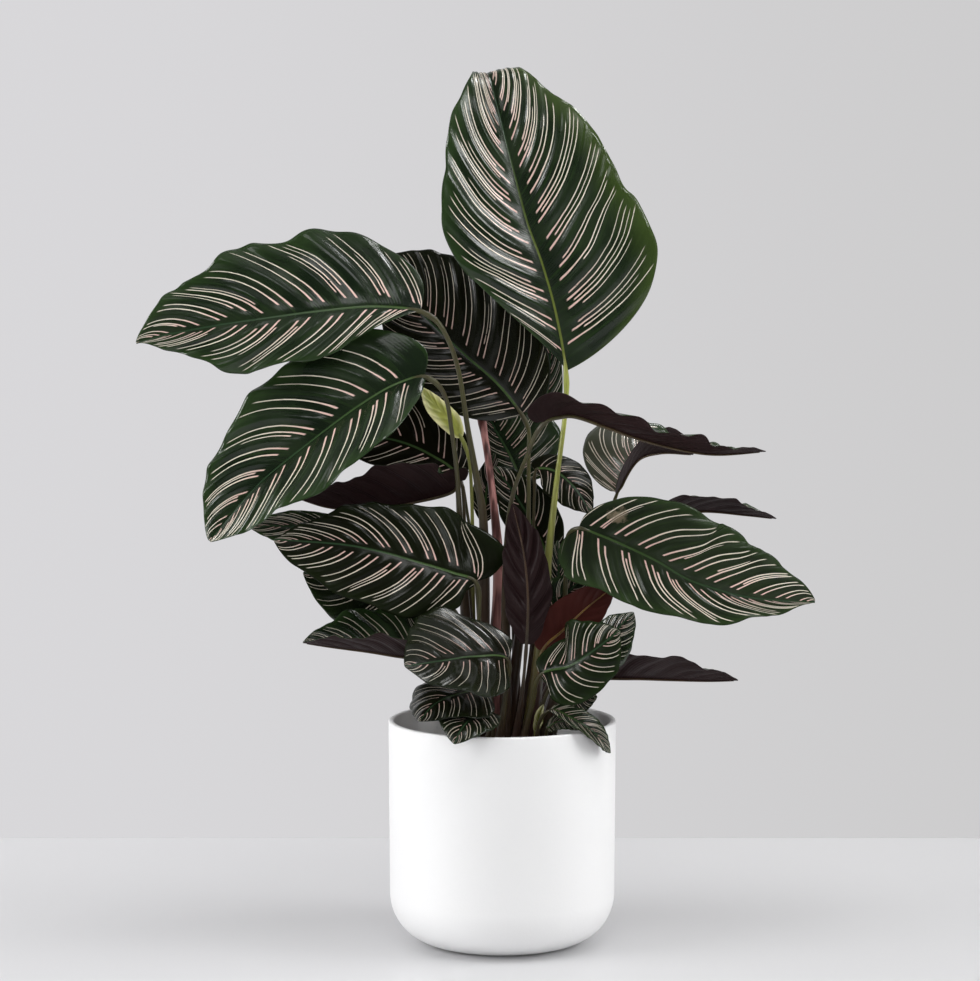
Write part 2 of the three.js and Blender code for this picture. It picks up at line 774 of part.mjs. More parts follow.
// The direction straight out of the upper face at a place of the blade.
function bladeNormal(leaf, line, row, across) {
  const step = 0.01;
  const low = Math.max(row - step, 0.005);
  const high = Math.min(row + step, 0.995);
  const along = bladePoint(leaf, line, high, across).point;
  along.sub(bladePoint(leaf, line, low, across).point);
  const over = bladePoint(leaf, line, row, Math.min(across + step, 1)).point;
  over.sub(bladePoint(leaf, line, row, Math.max(across - step, -1)).point);
  return over.cross(along).normalize();
}

// Round rings along the stem, turned so that the last one faces as the blade's base does.
function stemRings(leaf, line, columns, count) {
  const rings = [];
  const shares = [0, line.buried];
  for (let k = 1; k <= count; k += 1) shares.push(mix(line.buried, 1, k / count));
  const face = faceAt(leaf.faces, 0);
  let right = line.at("stem", 1).direction.cross(face).normalize();
  for (const share of shares.reverse()) {
    const { point, direction } = line.at("stem", share);
    right.addScaledVector(direction, -right.dot(direction)).normalize();
    const up = right.clone().cross(direction);
    const radius = leaf.radius * mix(1, 0.72, Math.min(share * 1.4, 1));
    const ring = Array.from({ length: 2 * columns }, (_, k) => {
      const angle = Math.PI * (1 - (k + 0.5) / columns);
      return point
        .clone()
        .addScaledVector(right, radius * Math.cos(angle))
        .addScaledVector(up, radius * Math.sin(angle));
    });
    rings.unshift(ring);
  }
  return rings;
}

// Flat rings along the blade: the upper face from left to right and the lower face back again, with
// the midrib standing out of the lower face. They lie closer together at the base and at the tip.
function bladeRings(leaf, line, columns, count) {
  const rings = [];
  for (let k = 1; k <= count; k += 1) {
    const even = k / count;
    const row = 0.99 * (1 - Math.pow(1 - Math.pow(even, 1.45), 1.25));
    const top = [];
    const bottom = [];
    for (let j = 0; j < columns; j += 1) {
      const across = (2 * j) / (columns - 1) - 1;
      const { point } = bladePoint(leaf, line, row, across);
      const normal = bladeNormal(leaf, line, row, across);
      const rib = j === (columns - 1) / 2 ? 0.9 * leaf.radius * (1 - even) : 0;
      top.push(point.clone().addScaledVector(normal, BLADE.thickness / 2));
      bottom.unshift(point.addScaledVector(normal, -BLADE.thickness / 2 - rib));
    }
    rings.push([...top, ...bottom]);
  }
  return rings;
}

function makeLeaf(name, leaf) {
  const line = leafLine(leaf);
  const [columns, bladeCount, stemCount] = leaf.detail;
  const stem = stemRings(leaf, line, columns, stemCount);
  const blade = bladeRings(leaf, line, columns, bladeCount);
  const look = leaf.young ? MATERIALS.young : MATERIALS.leaf;
  return named(name, loft([...stem, ...blade], columns), look);
}

// ---- assembly --------------------------------------------------------------------------------

const plant = new THREE.Group();
plant.name = "potted_calathea";
plant.add(makePot(), makeSoil(LEAVES));
for (const [name, leaf] of Object.entries(LEAVES)) plant.add(makeLeaf(name, leaf));

export default plant;
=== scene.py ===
# %% [markdown]
# # A potted calathea
# This lesson dresses a house plant: a pinstriped calathea in a white pot with a rounded foot.
# The frame holds plain solids of every piece at its true size. Here each leaf is worked out again
# from the same few points, as a fine surface with pleats, a sunken midrib and a thin margin, and
# gets its pinstripes, its purple underside and its stem. The pot and the soil get smooth forms.

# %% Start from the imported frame
import math
from functools import partialmethod

import bpy
import numpy as np
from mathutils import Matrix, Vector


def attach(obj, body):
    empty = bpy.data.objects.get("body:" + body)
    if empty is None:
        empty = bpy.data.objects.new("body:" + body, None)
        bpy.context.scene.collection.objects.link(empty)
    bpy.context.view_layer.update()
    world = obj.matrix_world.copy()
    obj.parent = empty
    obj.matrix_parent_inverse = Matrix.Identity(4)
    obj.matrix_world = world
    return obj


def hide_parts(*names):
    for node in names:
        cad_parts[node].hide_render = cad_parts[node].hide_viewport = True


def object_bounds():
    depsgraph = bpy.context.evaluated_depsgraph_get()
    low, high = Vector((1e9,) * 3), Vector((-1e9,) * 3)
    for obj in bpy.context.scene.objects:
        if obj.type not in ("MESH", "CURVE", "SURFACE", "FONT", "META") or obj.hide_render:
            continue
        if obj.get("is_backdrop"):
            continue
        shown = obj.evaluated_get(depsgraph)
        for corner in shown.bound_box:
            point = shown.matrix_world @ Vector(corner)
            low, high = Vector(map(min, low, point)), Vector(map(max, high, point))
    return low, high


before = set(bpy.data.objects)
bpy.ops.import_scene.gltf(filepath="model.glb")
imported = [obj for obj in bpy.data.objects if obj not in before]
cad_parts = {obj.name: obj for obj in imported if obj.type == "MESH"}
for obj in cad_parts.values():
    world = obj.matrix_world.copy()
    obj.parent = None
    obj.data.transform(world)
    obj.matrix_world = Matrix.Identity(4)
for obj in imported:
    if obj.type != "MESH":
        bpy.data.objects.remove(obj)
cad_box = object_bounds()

MM = 0.001  # the table of leaves and the pot's sizes are in millimetres, and Blender is in metres
print("pieces in the frame:", len(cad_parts))

# %% [markdown]
# ## Camera
# A product picture like this is taken from far away with a long lens, a little above the plant's
# middle and tilted down, so that the rim of the pot shows as a thin ellipse. A wide lens close by
# would give the same frame but would swell the leaves that point at it.

# %% Camera
CAMERA_PLACE = (-0.00965, -2.4, 0.5705)
CAMERA_TILT = 5.031  # degrees below the horizon
FOCAL_PIXELS = 3060.4  # focal length in pixels of the picture
LONG_SIDE_PIXELS = 981
SENSOR_WIDTH = 36.0  # millimetres

camera_data = bpy.data.cameras.new("camera")
camera_data.sensor_width = SENSOR_WIDTH
camera_data.lens = FOCAL_PIXELS * SENSOR_WIDTH / LONG_SIDE_PIXELS
camera = bpy.data.objects.new("camera", camera_data)
camera.location = CAMERA_PLACE
camera.rotation_euler = (math.radians(90 - CAMERA_TILT), 0, 0)
bpy.context.scene.collection.objects.link(camera)
bpy.context.scene.camera = camera
bpy.context.scene.view_settings.view_transform = "Standard"
print("lens in millimetres:", round(camera_data.lens, 2))

# %% [markdown]
# ## Writing shaders as formulas
# A node tree is easier to read as a formula. This small class adds one node for each call and
# returns its output, and an input can be a number or the output of another node.

# %% Node helper
class Formula:
    """Adds nodes to a tree. Each method returns the socket that holds its result."""

    def __init__(self, tree):
        self.tree = tree

    def node(self, kind, inputs=(), **settings):
        made = self.tree.nodes.new(kind)
        for name, value in settings.items():
            setattr(made, name, value)
        for key, value in dict(inputs).items():
            self.put(made.inputs[key], value)
        return made

    def put(self, socket, value):
        if isinstance(value, bpy.types.NodeSocket):
            self.tree.links.new(value, socket)
        elif isinstance(value, tuple) and len(value) == 3 and socket.type == "RGBA":
            socket.default_value = (*value, 1)
        else:
            socket.default_value = value

    def math(self, operation, a, b=0.0, c=0.0, clamp=False):
        settings = dict(operation=operation, use_clamp=clamp)
        return self.node("ShaderNodeMath", {0: a, 1: b, 2: c}, **settings).outputs[0]

    add = partialmethod(math, "ADD")
    sub = partialmethod(math, "SUBTRACT")
    mul = partialmethod(math, "MULTIPLY")
    most = partialmethod(math, "MAXIMUM")
    least = partialmethod(math, "MINIMUM")

    def rise(self, value, low, high):
        """0 below low, 1 above high and a smooth step between; high may be the smaller one."""
        inputs = {"Value": value, 3: 0.0, 4: 1.0}
        made = self.node("ShaderNodeMapRange", inputs, interpolation_type="SMOOTHSTEP")
        self.put(made.inputs[1], low)
        self.put(made.inputs[2], high)
        return made.outputs[0]

    def ramp(self, value, low, high):
        """A straight change from low at 0 to high at 1."""
        return self.math("MULTIPLY_ADD", value, high - low, low)

    def mix(self, share, a, b):
        made = self.node("ShaderNodeMix", data_type="RGBA")
        self.put(made.inputs[0], share)
        self.put(made.inputs[6], a)
        self.put(made.inputs[7], b)
        return made.outputs[2]

    def noise(self, vector, scale, detail=3.0, roughness=0.5):
        inputs = {"Vector": vector, "Scale": scale, "Detail": detail, "Roughness": roughness}
        return self.node("ShaderNodeTexNoise", inputs).outputs[0]

    def draws(self, x, y, z):
        """Three random numbers between 0 and 1 that depend on three given numbers."""
        seed = self.vector(x, y, z)
        made = self.node("ShaderNodeTexWhiteNoise", {"Vector": seed}, noise_dimensions="3D")
        return self.parts(made.outputs["Color"])

    def vector(self, x, y, z):
        return self.node("ShaderNodeCombineXYZ", {0: x, 1: y, 2: z}).outputs[0]

    def parts(self, vector):
        return self.node("ShaderNodeSeparateXYZ", {0: vector}).outputs

    def scaled(self, vector, by):
        made = self.node("ShaderNodeVectorMath", {0: vector, 1: by}, operation="MULTIPLY")
        return made.outputs[0]

    def place(self):
        return self.node("ShaderNodeTexCoord").outputs["Object"]

    def attribute(self, name):
        return self.node("ShaderNodeAttribute", attribute_name=name).outputs["Vector"]

    def bump(self, height, distance, strength=1.0):
        inputs = {"Height": height, "Distance": distance, "Strength": strength}
        return self.node("ShaderNodeBump", inputs).outputs[0]


def empty_material(name):
    """A material without nodes, and the formula writer for its tree."""
    material = bpy.data.materials.new(name)
    material.use_nodes = True
    material.node_tree.nodes.clear()
    return material, Formula(material.node_tree)


def new_material(name):
    """A material with a Principled shader, the formula writer for its tree, and the shader."""
    material, f = empty_material(name)
    shader = f.node("ShaderNodeBsdfPrincipled")
    f.node("ShaderNodeOutputMaterial", {0: shader.outputs[0]})
    return material, f, shader


def finish(f, shader, colour, roughness, normal=None):
    """Gives the shader what every finish here has; the specular level is set apart, as a number."""
    f.put(shader.inputs["Base Color"], colour)
    f.put(shader.inputs["Roughness"], roughness)
    if normal is not None:
        f.put(shader.inputs["Normal"], normal)


def new_group(name, inputs, outputs):
    """A shader node group with number inputs and outputs, and the formula writer for its tree."""
    group = bpy.data.node_groups.new(name, "ShaderNodeTree")
    for label in inputs:
        group.interface.new_socket(label, in_out="INPUT", socket_type="NodeSocketFloat")
    for label in outputs:
        group.interface.new_socket(label, in_out="OUTPUT", socket_type="NodeSocketFloat")
    f = Formula(group)
    return group, f, f.node("NodeGroupInput").outputs, f.node("NodeGroupOutput").inputs


def use_group(f, group, **inputs):
    made = f.node("ShaderNodeGroup", node_tree=group)
    for name, value in inputs.items():
        f.put(made.inputs[name], value)
    return made.outputs


print("formula writer ready")

# %% [markdown]
# ## Table and wall
# The plant stands on a pale table in front of a pale wall. The table is one big quad. The wall only
# glows, so that no shadow falls on it, and its glow is painted light, brighter on the left than on the
# right. Above the picture it gets dim, because leaves that look up would mirror it as a grey veil. It
# is clear from behind, so that the plant is seen from all round.

# %% Table and wall
TABLE_HALF = 30.0
WALL_PLACE = 0.402  # how far behind the pot's axis the table ends
WALL_HALF = 30.0
WALL_BRIGHT_TO, WALL_DIM_FROM = 0.95, 1.6  # heights in metres between which its glow gets weak


def quad(name, corners, material):
    """A flat face with four corners, marked as a part of the stage."""
    mesh = bpy.data.meshes.new(name)
    mesh.from_pydata(corners, [], [(0, 1, 2, 3)])
    mesh.materials.append(material)
    made = bpy.data.objects.new(name, mesh)
    bpy.context.scene.collection.objects.link(made)
    made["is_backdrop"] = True
    return made


table_material, f, shader = new_material("pale_table")
grain = f.noise(f.place(), 3.0)
colour = f.mix(grain, (0.635, 0.635, 0.645), (0.665, 0.665, 0.675))
finish(f, shader, colour, f.ramp(grain, 0.28, 0.36))
shader.inputs["Specular IOR Level"].default_value = 0.35
side = TABLE_HALF
quad("table", [(-side, -side, 0), (side, -side, 0), (side, side, 0), (-side, side, 0)], table_material)

wall_material, f = empty_material("pale_wall")
x, y, z = f.parts(f.place())[:3]
# painted light: the wall's glow is brighter on the left and falls off to the right
painted_light_falloff = f.rise(x, -0.5, 0.6)
wall_colour = f.mix(painted_light_falloff, (0.69, 0.683, 0.70), (0.61, 0.605, 0.61))
glow = f.node("ShaderNodeEmission", {"Color": wall_colour})
f.put(glow.inputs["Strength"], f.ramp(f.rise(z, WALL_BRIGHT_TO, WALL_DIM_FROM), 1.0, 0.25))
clear = f.node("ShaderNodeBsdfTransparent")
behind = f.node("ShaderNodeNewGeometry").outputs["Backfacing"]
wall_look = f.node("ShaderNodeMixShader", {0: behind, 1: glow.outputs[0], 2: clear.outputs[0]})
f.node("ShaderNodeOutputMaterial", {0: wall_look.outputs[0]})
wide, back = WALL_HALF, WALL_PLACE
quad("wall", [(-wide, back, 0), (wide, back, 0), (wide, back, wide), (-wide, back, wide)], wall_material)
print("wall behind the pot's axis, in metres:", WALL_PLACE)

# %% [markdown]
# ## Lamps
# Big soft lamps from both sides leave the front of the pot a little darker. A leaf is a dark mirror,
# and one big lamp in it would look like milk. So the big lamps light matt surfaces only, and four
# small ones are seen only in the gloss. The room is dark in front, so that the leaves are dark too
# wherever no lamp is mirrored in them.

# %% Lamps
LAMPS = [  # name, place, point that it looks at, width, height, watts, what it lights
    ("lamp_left", (-1.85, -0.55, 0.85), (0, 0, 0.3), 1.6, 1.5, 30.0, "matt"),
    ("lamp_right", (1.95, -0.15, 0.9), (0, 0, 0.3), 1.4, 1.5, 27.5, "matt"),
    ("lamp_top", (0.2, -0.6, 2.2), (0, 0, 0.1), 1.6, 1.2, 23.0, "matt"),
    ("lamp_front", (0.1, -2.5, 1.0), (0, 0, 0.2), 2.4, 1.2, 16.5, "matt"),
    ("glint_left", (-1.7, -0.75, 1.15), (0, 0, 0.45), 0.45, 0.9, 22.0, "gloss"),
    ("glint_right", (1.36, -0.8, 1.68), (0, 0, 0.45), 0.45, 0.6, 12.0, "gloss"),
    ("glint_front", (0.24, -1.4, 1.85), (0, 0, 0.45), 0.5, 0.4, 2.2, "gloss"),
    ("glint_top", (0.62, 0.34, 1.5), (0, 0, 0.25), 0.35, 0.3, 9.0, "gloss"),
]
for name, place, target, width, height, power, lights in LAMPS:
    lamp_data = bpy.data.lights.new(name, "AREA")
    lamp_data.shape = "RECTANGLE"
    lamp_data.size, lamp_data.size_y, lamp_data.energy = width, height, power
    lamp = bpy.data.objects.new(name, lamp_data)
    towards = np.array(target) - np.array(place)
    turn = math.atan2(-towards[0], towards[1])
    tilt = math.atan2(math.hypot(towards[0], towards[1]), -towards[2])
    lamp.visible_glossy = lights != "matt"
    lamp.visible_diffuse = lights != "gloss"
    lamp.location = place
    lamp.rotation_euler = (tilt, 0, turn)
    bpy.context.scene.collection.objects.link(lamp)

world = bpy.data.worlds.new("soft_room")
world.use_nodes = True
f = Formula(world.node_tree)
x, y, z = f.parts(f.node("ShaderNodeTexCoord").outputs["Generated"])[:3]
sides = f.mul(f.rise(f.math("ABSOLUTE", x), 0.35, 0.95), 0.16)
above = f.mul(f.mul(f.rise(z, 0.5, 0.98), 0.42), f.rise(y, -0.6, 0.15))
behind = f.mul(f.rise(y, -0.35, 0.5), 0.15)
glow = f.add(0.025, f.add(behind, f.add(sides, above)))
world.node_tree.nodes["Background"].inputs["Color"].default_value = (0.98, 0.99, 1.0, 1)
f.put(world.node_tree.nodes["Background"].inputs["Strength"], glow)
bpy.context.scene.world = world
print("lamps:", len(LAMPS))

# %% [markdown]
# ## Closed surfaces from rings
# Every piece here is a stack of rings with equally many points: the rings of a pot are circles, the
# rings of a stem are small circles along a curve, and the rings of a blade run over its upper face
# and back under it. One function joins rings into quads and closes both ends with a fan.

# %% Loft
def loft(rings):
    """Vertices and faces of a closed body through an array of rings (rings, points, 3).
    Point j of ring i is joined to point j + 1 and to ring i + 1; a middle point closes each end."""
    rows, count, _ = rings.shape
    index = np.arange(rows * count).reshape(rows, count)
    after = np.roll(index, -1, axis=1)
    sides = np.stack([index[:-1], after[:-1], after[1:], index[1:]], axis=-1).reshape(-1, 4)
    points = np.concatenate([rings.reshape(-1, 3), rings[[0, -1]].mean(axis=1)])
    first, last = rows * count, rows * count + 1
    start = np.stack([np.full(count, first), after[0], index[0]], axis=-1)
    end = np.stack([np.full(count, last), index[-1], after[-1]], axis=-1)
    return points, sides, np.concatenate([start, end])


def per_vertex(values, ends):
    """Values of the rings' points in one list, with the values of the two middle points after it."""
    flat = values.reshape(-1, *values.shape[2:])
    return np.concatenate([flat, np.asarray(ends, float).reshape(2, *flat.shape[1:])])


def add_piece(name, points, quads, triangles, materials, face_materials=None):
    """A smooth mesh object from points in millimetres and arrays of faces."""
    mesh = bpy.data.meshes.new(name)
    corners = np.concatenate([quads.ravel(), triangles.ravel()]).astype(np.int32)
    sizes = np.concatenate([np.full(len(quads), 4), np.full(len(triangles), 3)])
    starts = np.concatenate([[0], np.cumsum(sizes)[:-1]]).astype(np.int32)
    mesh.vertices.add(len(points))
    mesh.vertices.foreach_set("co", (points * MM).astype(np.float32).ravel())
    mesh.loops.add(len(corners))
    mesh.loops.foreach_set("vertex_index", corners)
    mesh.polygons.add(len(sizes))
    mesh.polygons.foreach_set("loop_start", starts)
    for material in materials:
        mesh.materials.append(material)
    if face_materials is not None:
        mesh.polygons.foreach_set("material_index", face_materials.astype(np.int32))
    mesh.update(calc_edges=True)
    mesh.shade_smooth()
    made = bpy.data.objects.new(name, mesh)
    bpy.context.scene.collection.objects.link(made)
    return made


def add_values(piece, name, values):
    """A vector attribute with three numbers for each vertex."""
    layer = piece.data.attributes.new(name, "FLOAT_VECTOR", "POINT")
    layer.data.foreach_set("vector", values.astype(np.float32).ravel())


print("loft ready")

# %% [markdown]
# ## The pot
# The pot is cast ceramic: a straight wall, a big rounding down to a flat foot, and a small round
# lip. Its profile is a few arcs, turned about the axis. The glaze is matt white. A touch of
# unevenness in the gloss and a very fine grain keep it from looking like plastic.

# %% Pot
POT = dict(radius=90.0, height=177.5, corner=39.0, wall=4.2, floor=6.0, taper=0.8, lip=1.4)
POT_SIDES = 144
INNER_RADIUS = POT["radius"] - POT["wall"]
INNER_CORNER = POT["corner"] - POT["wall"]
INNER_FOOT = INNER_RADIUS - POT["taper"] - INNER_CORNER


def arc(centre, radius, start, end, count):
    """Points of an arc: centre + radius * (cosine, sine) of evenly spaced angles in degrees."""
    angle = np.radians(np.linspace(start, end, count))
    return np.array(centre) + radius * np.stack([np.cos(angle), np.sin(angle)], axis=-1)


def turned(profile, sides):
    """Rings of a profile [radius, height] turned about Z: (r cos a, r sin a, height)."""
    angle = np.arange(sides) * 2 * np.pi / sides
    radius, height = profile[:, 0, None], profile[:, 1, None]
    ring = [radius * np.cos(angle), radius * np.sin(angle), height + 0 * angle]
    return np.stack(ring, axis=-1)


ceramic, f, shader = new_material("white_ceramic")
place = f.place()
cloud = f.noise(place, 9.0, 4.0)
speck = f.rise(f.noise(place, 900.0, 2.0), 0.68, 0.78)
pale = f.mix(cloud, (0.90, 0.90, 0.905), (0.925, 0.923, 0.92))
colour = f.mix(f.mul(speck, 0.12), pale, (0.6, 0.58, 0.56))
roughness = f.ramp(f.noise(place, 30.0), 0.40, 0.54)
finish(f, shader, colour, roughness, f.bump(f.noise(place, 420.0, 3.0), 0.0002, 0.35))

foot = POT["radius"] - POT["taper"] - POT["corner"]
low, high, lip = POT["corner"], POT["height"] - POT["lip"], POT["lip"]
outside = arc((foot, low), POT["corner"], -90, 0, 40)
rim = [arc((POT["radius"] - lip, high), lip, 0, 90, 8), arc((INNER_RADIUS + lip, high), lip, 90, 180, 8)]
inside = arc((INNER_FOOT, POT["floor"] + INNER_CORNER), INNER_CORNER, 0, -90, 20)
base = np.array([[foot * 0.5, 0.0], [foot * 0.96, 0.0]])
wall = np.linspace(outside[-1], rim[0][0], 12)[1:-1]
inner_wall = np.linspace(rim[1][-1], inside[0], 12)[1:-1]
profile = np.concatenate([base, outside, wall, *rim, inner_wall, inside])
pot = add_piece("pot_glazed", *loft(turned(profile, POT_SIDES)), [ceramic])
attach(pot, "root")
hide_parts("pot")
print("pot faces:", len(pot.data.polygons))

# %% [markdown]
# ## The soil
# Potting soil is dark and crumbly. It is hardly seen, so it is one turned surface whose top is
# raised by layers of sine waves, and small crumbs that are scattered on it and sunk half in.

# %% Soil
SOIL = dict(edge=147.0, mound=6.0, worn=1.6, gap=0.3, lumps=0.8, fine=0.35, sunk=0.6)
SOIL_RADIUS = INNER_RADIUS - SOIL["gap"]
SOIL_SIDES, CRUMB_SIDES = 96, 8
CRUMBS = 420
CRUMB_RADII = (0.8, 2.6)
CRUMB_REACH = 0.95 * SOIL_RADIUS
CRUMB_SUNK = 0.4
random = np.random.default_rng(11)


def soil_height(x, y):
    """Height of the mound: edge + mound * (1 - the squared share of the radius)."""
    share = np.minimum(np.hypot(x, y) / SOIL_RADIUS, 1)
    return SOIL["edge"] + SOIL["mound"] * (1 - share**2)


earth, f, shader = new_material("potting_soil")
place = f.place()
clod = f.noise(place, 240.0, 5.0, 0.7)
fibre = f.rise(f.noise(f.scaled(place, (1.0, 3.0, 1.0)), 500.0, 2.0), 0.62, 0.7)
dark = f.mix(clod, (0.012, 0.008, 0.006), (0.055, 0.036, 0.024))
colour = f.mix(f.mul(fibre, 0.5), dark, (0.13, 0.085, 0.05))
finish(f, shader, colour, f.ramp(clod, 0.8, 1.0), f.bump(clod, 0.002, 0.8))

bottom = POT["floor"] + SOIL["gap"]
side = arc((INNER_FOOT - SOIL["gap"], bottom + INNER_CORNER), INNER_CORNER, -90, 0, 10)
edge = [[SOIL_RADIUS - 0.1 * POT["taper"], SOIL["edge"] - SOIL["worn"]]]
edge.append([SOIL_RADIUS - SOIL["worn"], SOIL["edge"]])
reach = np.linspace(0.97, 0.02, 40) * SOIL_RADIUS
top = np.stack([reach, soil_height(reach, 0)], axis=-1)
rings = turned(np.concatenate([[[20, bottom]], side, edge, top]), SOIL_SIDES)
x, y = rings[-len(top):, :, 0], rings[-len(top):, :, 1]
lumps = np.sin(0.9 * x + 1.3 * np.sin(0.7 * y)) * np.sin(0.8 * y + 1.1 * np.sin(0.6 * x))
fine = np.sin(2.3 * x + 2.0 * np.sin(1.9 * y)) * np.sin(2.1 * y)
rings[-len(top):, :, 2] += SOIL["lumps"] * lumps + SOIL["fine"] * fine - SOIL["sunk"]
points, quads, triangles = loft(rings)

turn = random.uniform(0, 2 * np.pi, CRUMBS)
away = CRUMB_REACH * np.sqrt(random.uniform(0, 1, CRUMBS))
size = random.uniform(*CRUMB_RADII, CRUMBS)
middle = np.stack([away * np.cos(turn), away * np.sin(turn), 0 * away], axis=-1)
middle[:, 2] = soil_height(middle[:, 0], middle[:, 1]) - CRUMB_SUNK
crumb = turned(arc((0, 0), 1.0, -75, 75, 5), CRUMB_SIDES)
rough = 1 + 0.28 * random.standard_normal((CRUMBS, *crumb.shape[:2], 1)).clip(-1.5, 1.5)
crumbs = crumb[None] * rough * size[:, None, None, None] + middle[:, None, None, :]
crumb_points, crumb_quads, crumb_triangles = loft(crumb)
tips = crumbs[:, [0, -1]].mean(axis=2)
crumb_points = np.concatenate([crumbs.reshape(CRUMBS, -1, 3), tips], axis=1)
shift = len(points) + np.arange(CRUMBS)[:, None, None] * crumb_points.shape[1]
quads = np.concatenate([quads, (crumb_quads[None] + shift).reshape(-1, 4)])
triangles = np.concatenate([triangles, (crumb_triangles[None] + shift).reshape(-1, 3)])
points = np.concatenate([points, crumb_points.reshape(-1, 3)])
soil = add_piece("soil_crumbly", points, quads, triangles, [earth])
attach(soil, "root")
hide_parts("soil")
print("soil faces:", len(soil.data.polygons))

# %% [markdown]
# ## Pinstripes
# The stripes of a leaf follow its side veins, so its surface carries, at each of its points, between
# which veins it lies, how far out it is and how many millimetres one vein's step measures there. The
# shader then draws each stripe at its true width, without any picture. One stripe is a node group,
# which a second group uses once for every stripe that can lie between two veins.
#
# Attributes on every leaf:
# - "veins": number of the vein counted from the base, place across (-1 left margin, 0 midrib,
#   1 right margin), size of one step between veins in decimetres
# - "place": share of the length, distance from the midrib in decimetres
# - "kind": seed, how young the leaf is, tone (stem: 0 lime, 0.5 olive, 1 maroon, 2 pink; 1.5 all red)
# - "style": how dense its stripes are; how wide and strong they are, turned down as painted shade
#   on leaves in shadow; painted light (above 0: a lime glow on the right margin painted as light from
#   behind, below 0: a dark blade, partly its own green and partly painted shade)
# - "finish": 1 for a leaf with a dry scar near its base, number of the vein where its stripes
#   begin, share of its green that is greyed as a painted sheen

# %% One pinstripe
# Mask = inside the half width * after the start * before the end, each with a soft edge.
DECIMETRE = 100.0  # millimetres; the attributes hold decimetres, so that their numbers stay near 1
WIDEST_IN_STEP = 0.036 * DECIMETRE  # half width of a stripe for each decimetre between two veins
SOFT_EDGE = 0.18  # millimetres
stripe_inputs = ["Fraction", "Out", "Step", "Place", "Start", "End", "Wide"]
pinstripe, f, given, result = new_group("pinstripe", stripe_inputs, ["Mask"])
progress = f.rise(given["Out"], given["Start"], given["End"])
half_width = f.mul(given["Wide"], f.ramp(progress, 1.0, 0.5))
half_width = f.add(half_width, f.mul(given["Wide"], f.mul(0.35, f.rise(progress, 0.12, 0.0))))
half_width = f.least(half_width, f.mul(given["Step"], WIDEST_IN_STEP))
steps_away = f.math("ABSOLUTE", f.sub(given["Fraction"], given["Place"]))
distance = f.mul(steps_away, f.mul(given["Step"], DECIMETRE))
inside = f.rise(f.sub(distance, half_width), SOFT_EDGE, -SOFT_EDGE)
started = f.rise(f.sub(given["Out"], given["Start"]), 0.0, 0.022)
not_ended = f.rise(f.sub(given["Out"], given["End"]), 0.0, -0.05)
f.put(result["Mask"], f.mul(inside, f.mul(started, not_ended)))
print("nodes in one pinstripe:", len(pinstripe.nodes))

# %% All pinstripes of a leaf
# Between two veins lie two long stripes, and often a thinner one close beside one of them.
STRIPES = [  # place between two veins, half width in mm, chance of being there, latest start
    (0.33, 0.66, 1.0, 0.13),
    (0.64, 0.62, 1.0, 0.16),
    (0.48, 0.44, 0.55, 0.30),
    (0.80, 0.46, 0.55, 0.26),
    (0.19, 0.36, 0.25, 0.40),
]
group_inputs = ["Vein", "Across", "Step", "Seed", "Wobble", "Dense", "Bright", "First"]
pinstripes, f, given, result = new_group("pinstripes", group_inputs, ["Mask"])
out = f.math("ABSOLUTE", given["Across"])
right = f.math("GREATER_THAN", given["Across"], 0.0)
vein = f.add(given["Vein"], f.mul(right, 0.5))
number = f.math("FLOOR", vein)
fraction = f.add(f.sub(vein, number), given["Wobble"])
seed = f.add(f.math("ROUND", given["Seed"]), f.mul(right, 31.7))
masks = 0.0
for k, (stripe_place, wide, chance, latest) in enumerate(STRIPES):
    first, second, third = f.draws(number, seed, k + 0.5)[:3]
    likely = 1.0 if chance == 1.0 else f.mul(given["Dense"], chance)
    there = f.math("LESS_THAN", first, likely)
    shifted = f.ramp(second, stripe_place - 0.03, stripe_place + 0.03)
    start = f.ramp(third, latest * 0.5, latest)
    end = f.ramp(f.math("FRACT", f.mul(second, 7.0)), 0.89 if chance == 1.0 else 0.65, 0.98)
    values = dict(Fraction=fraction, Out=out, Step=given["Step"], Place=shifted, Start=start, End=end)
    values["Wide"] = f.mul(given["Bright"], 0.88 * wide)
    mask = use_group(f, pinstripe, **values)[0]
    masks = f.most(masks, f.mul(mask, there))
f.put(result["Mask"], f.mul(masks, f.rise(f.sub(given["Vein"], given["First"]), 0.0, 0.2)))
print("stripes between two veins:", len(STRIPES))

# %% [markdown]
# ## The upper face
# The upper face is a deep, uneven green, lighter along some veins and at the margin, with cream
# stripes that turn pink towards the midrib. Young leaves are a pale yellow-green, and one old leaf
# has a dry scar. Light is painted in as well: a lime glow on the right margin where light comes
# through from behind, a darker blade that is partly painted shade, a painted grey sheen, and stripes
# turned down on leaves in shade. Some leaves shine and some are dull. How much a surface mirrors is
# one number for a whole material, so the same tree of nodes is made three times, with three such
# numbers.

# %% Upper face
SCAR_SHARE, SCAR_OUT = 0.115, 0.22  # where the scar is: along the leaf, and decimetres off its midrib


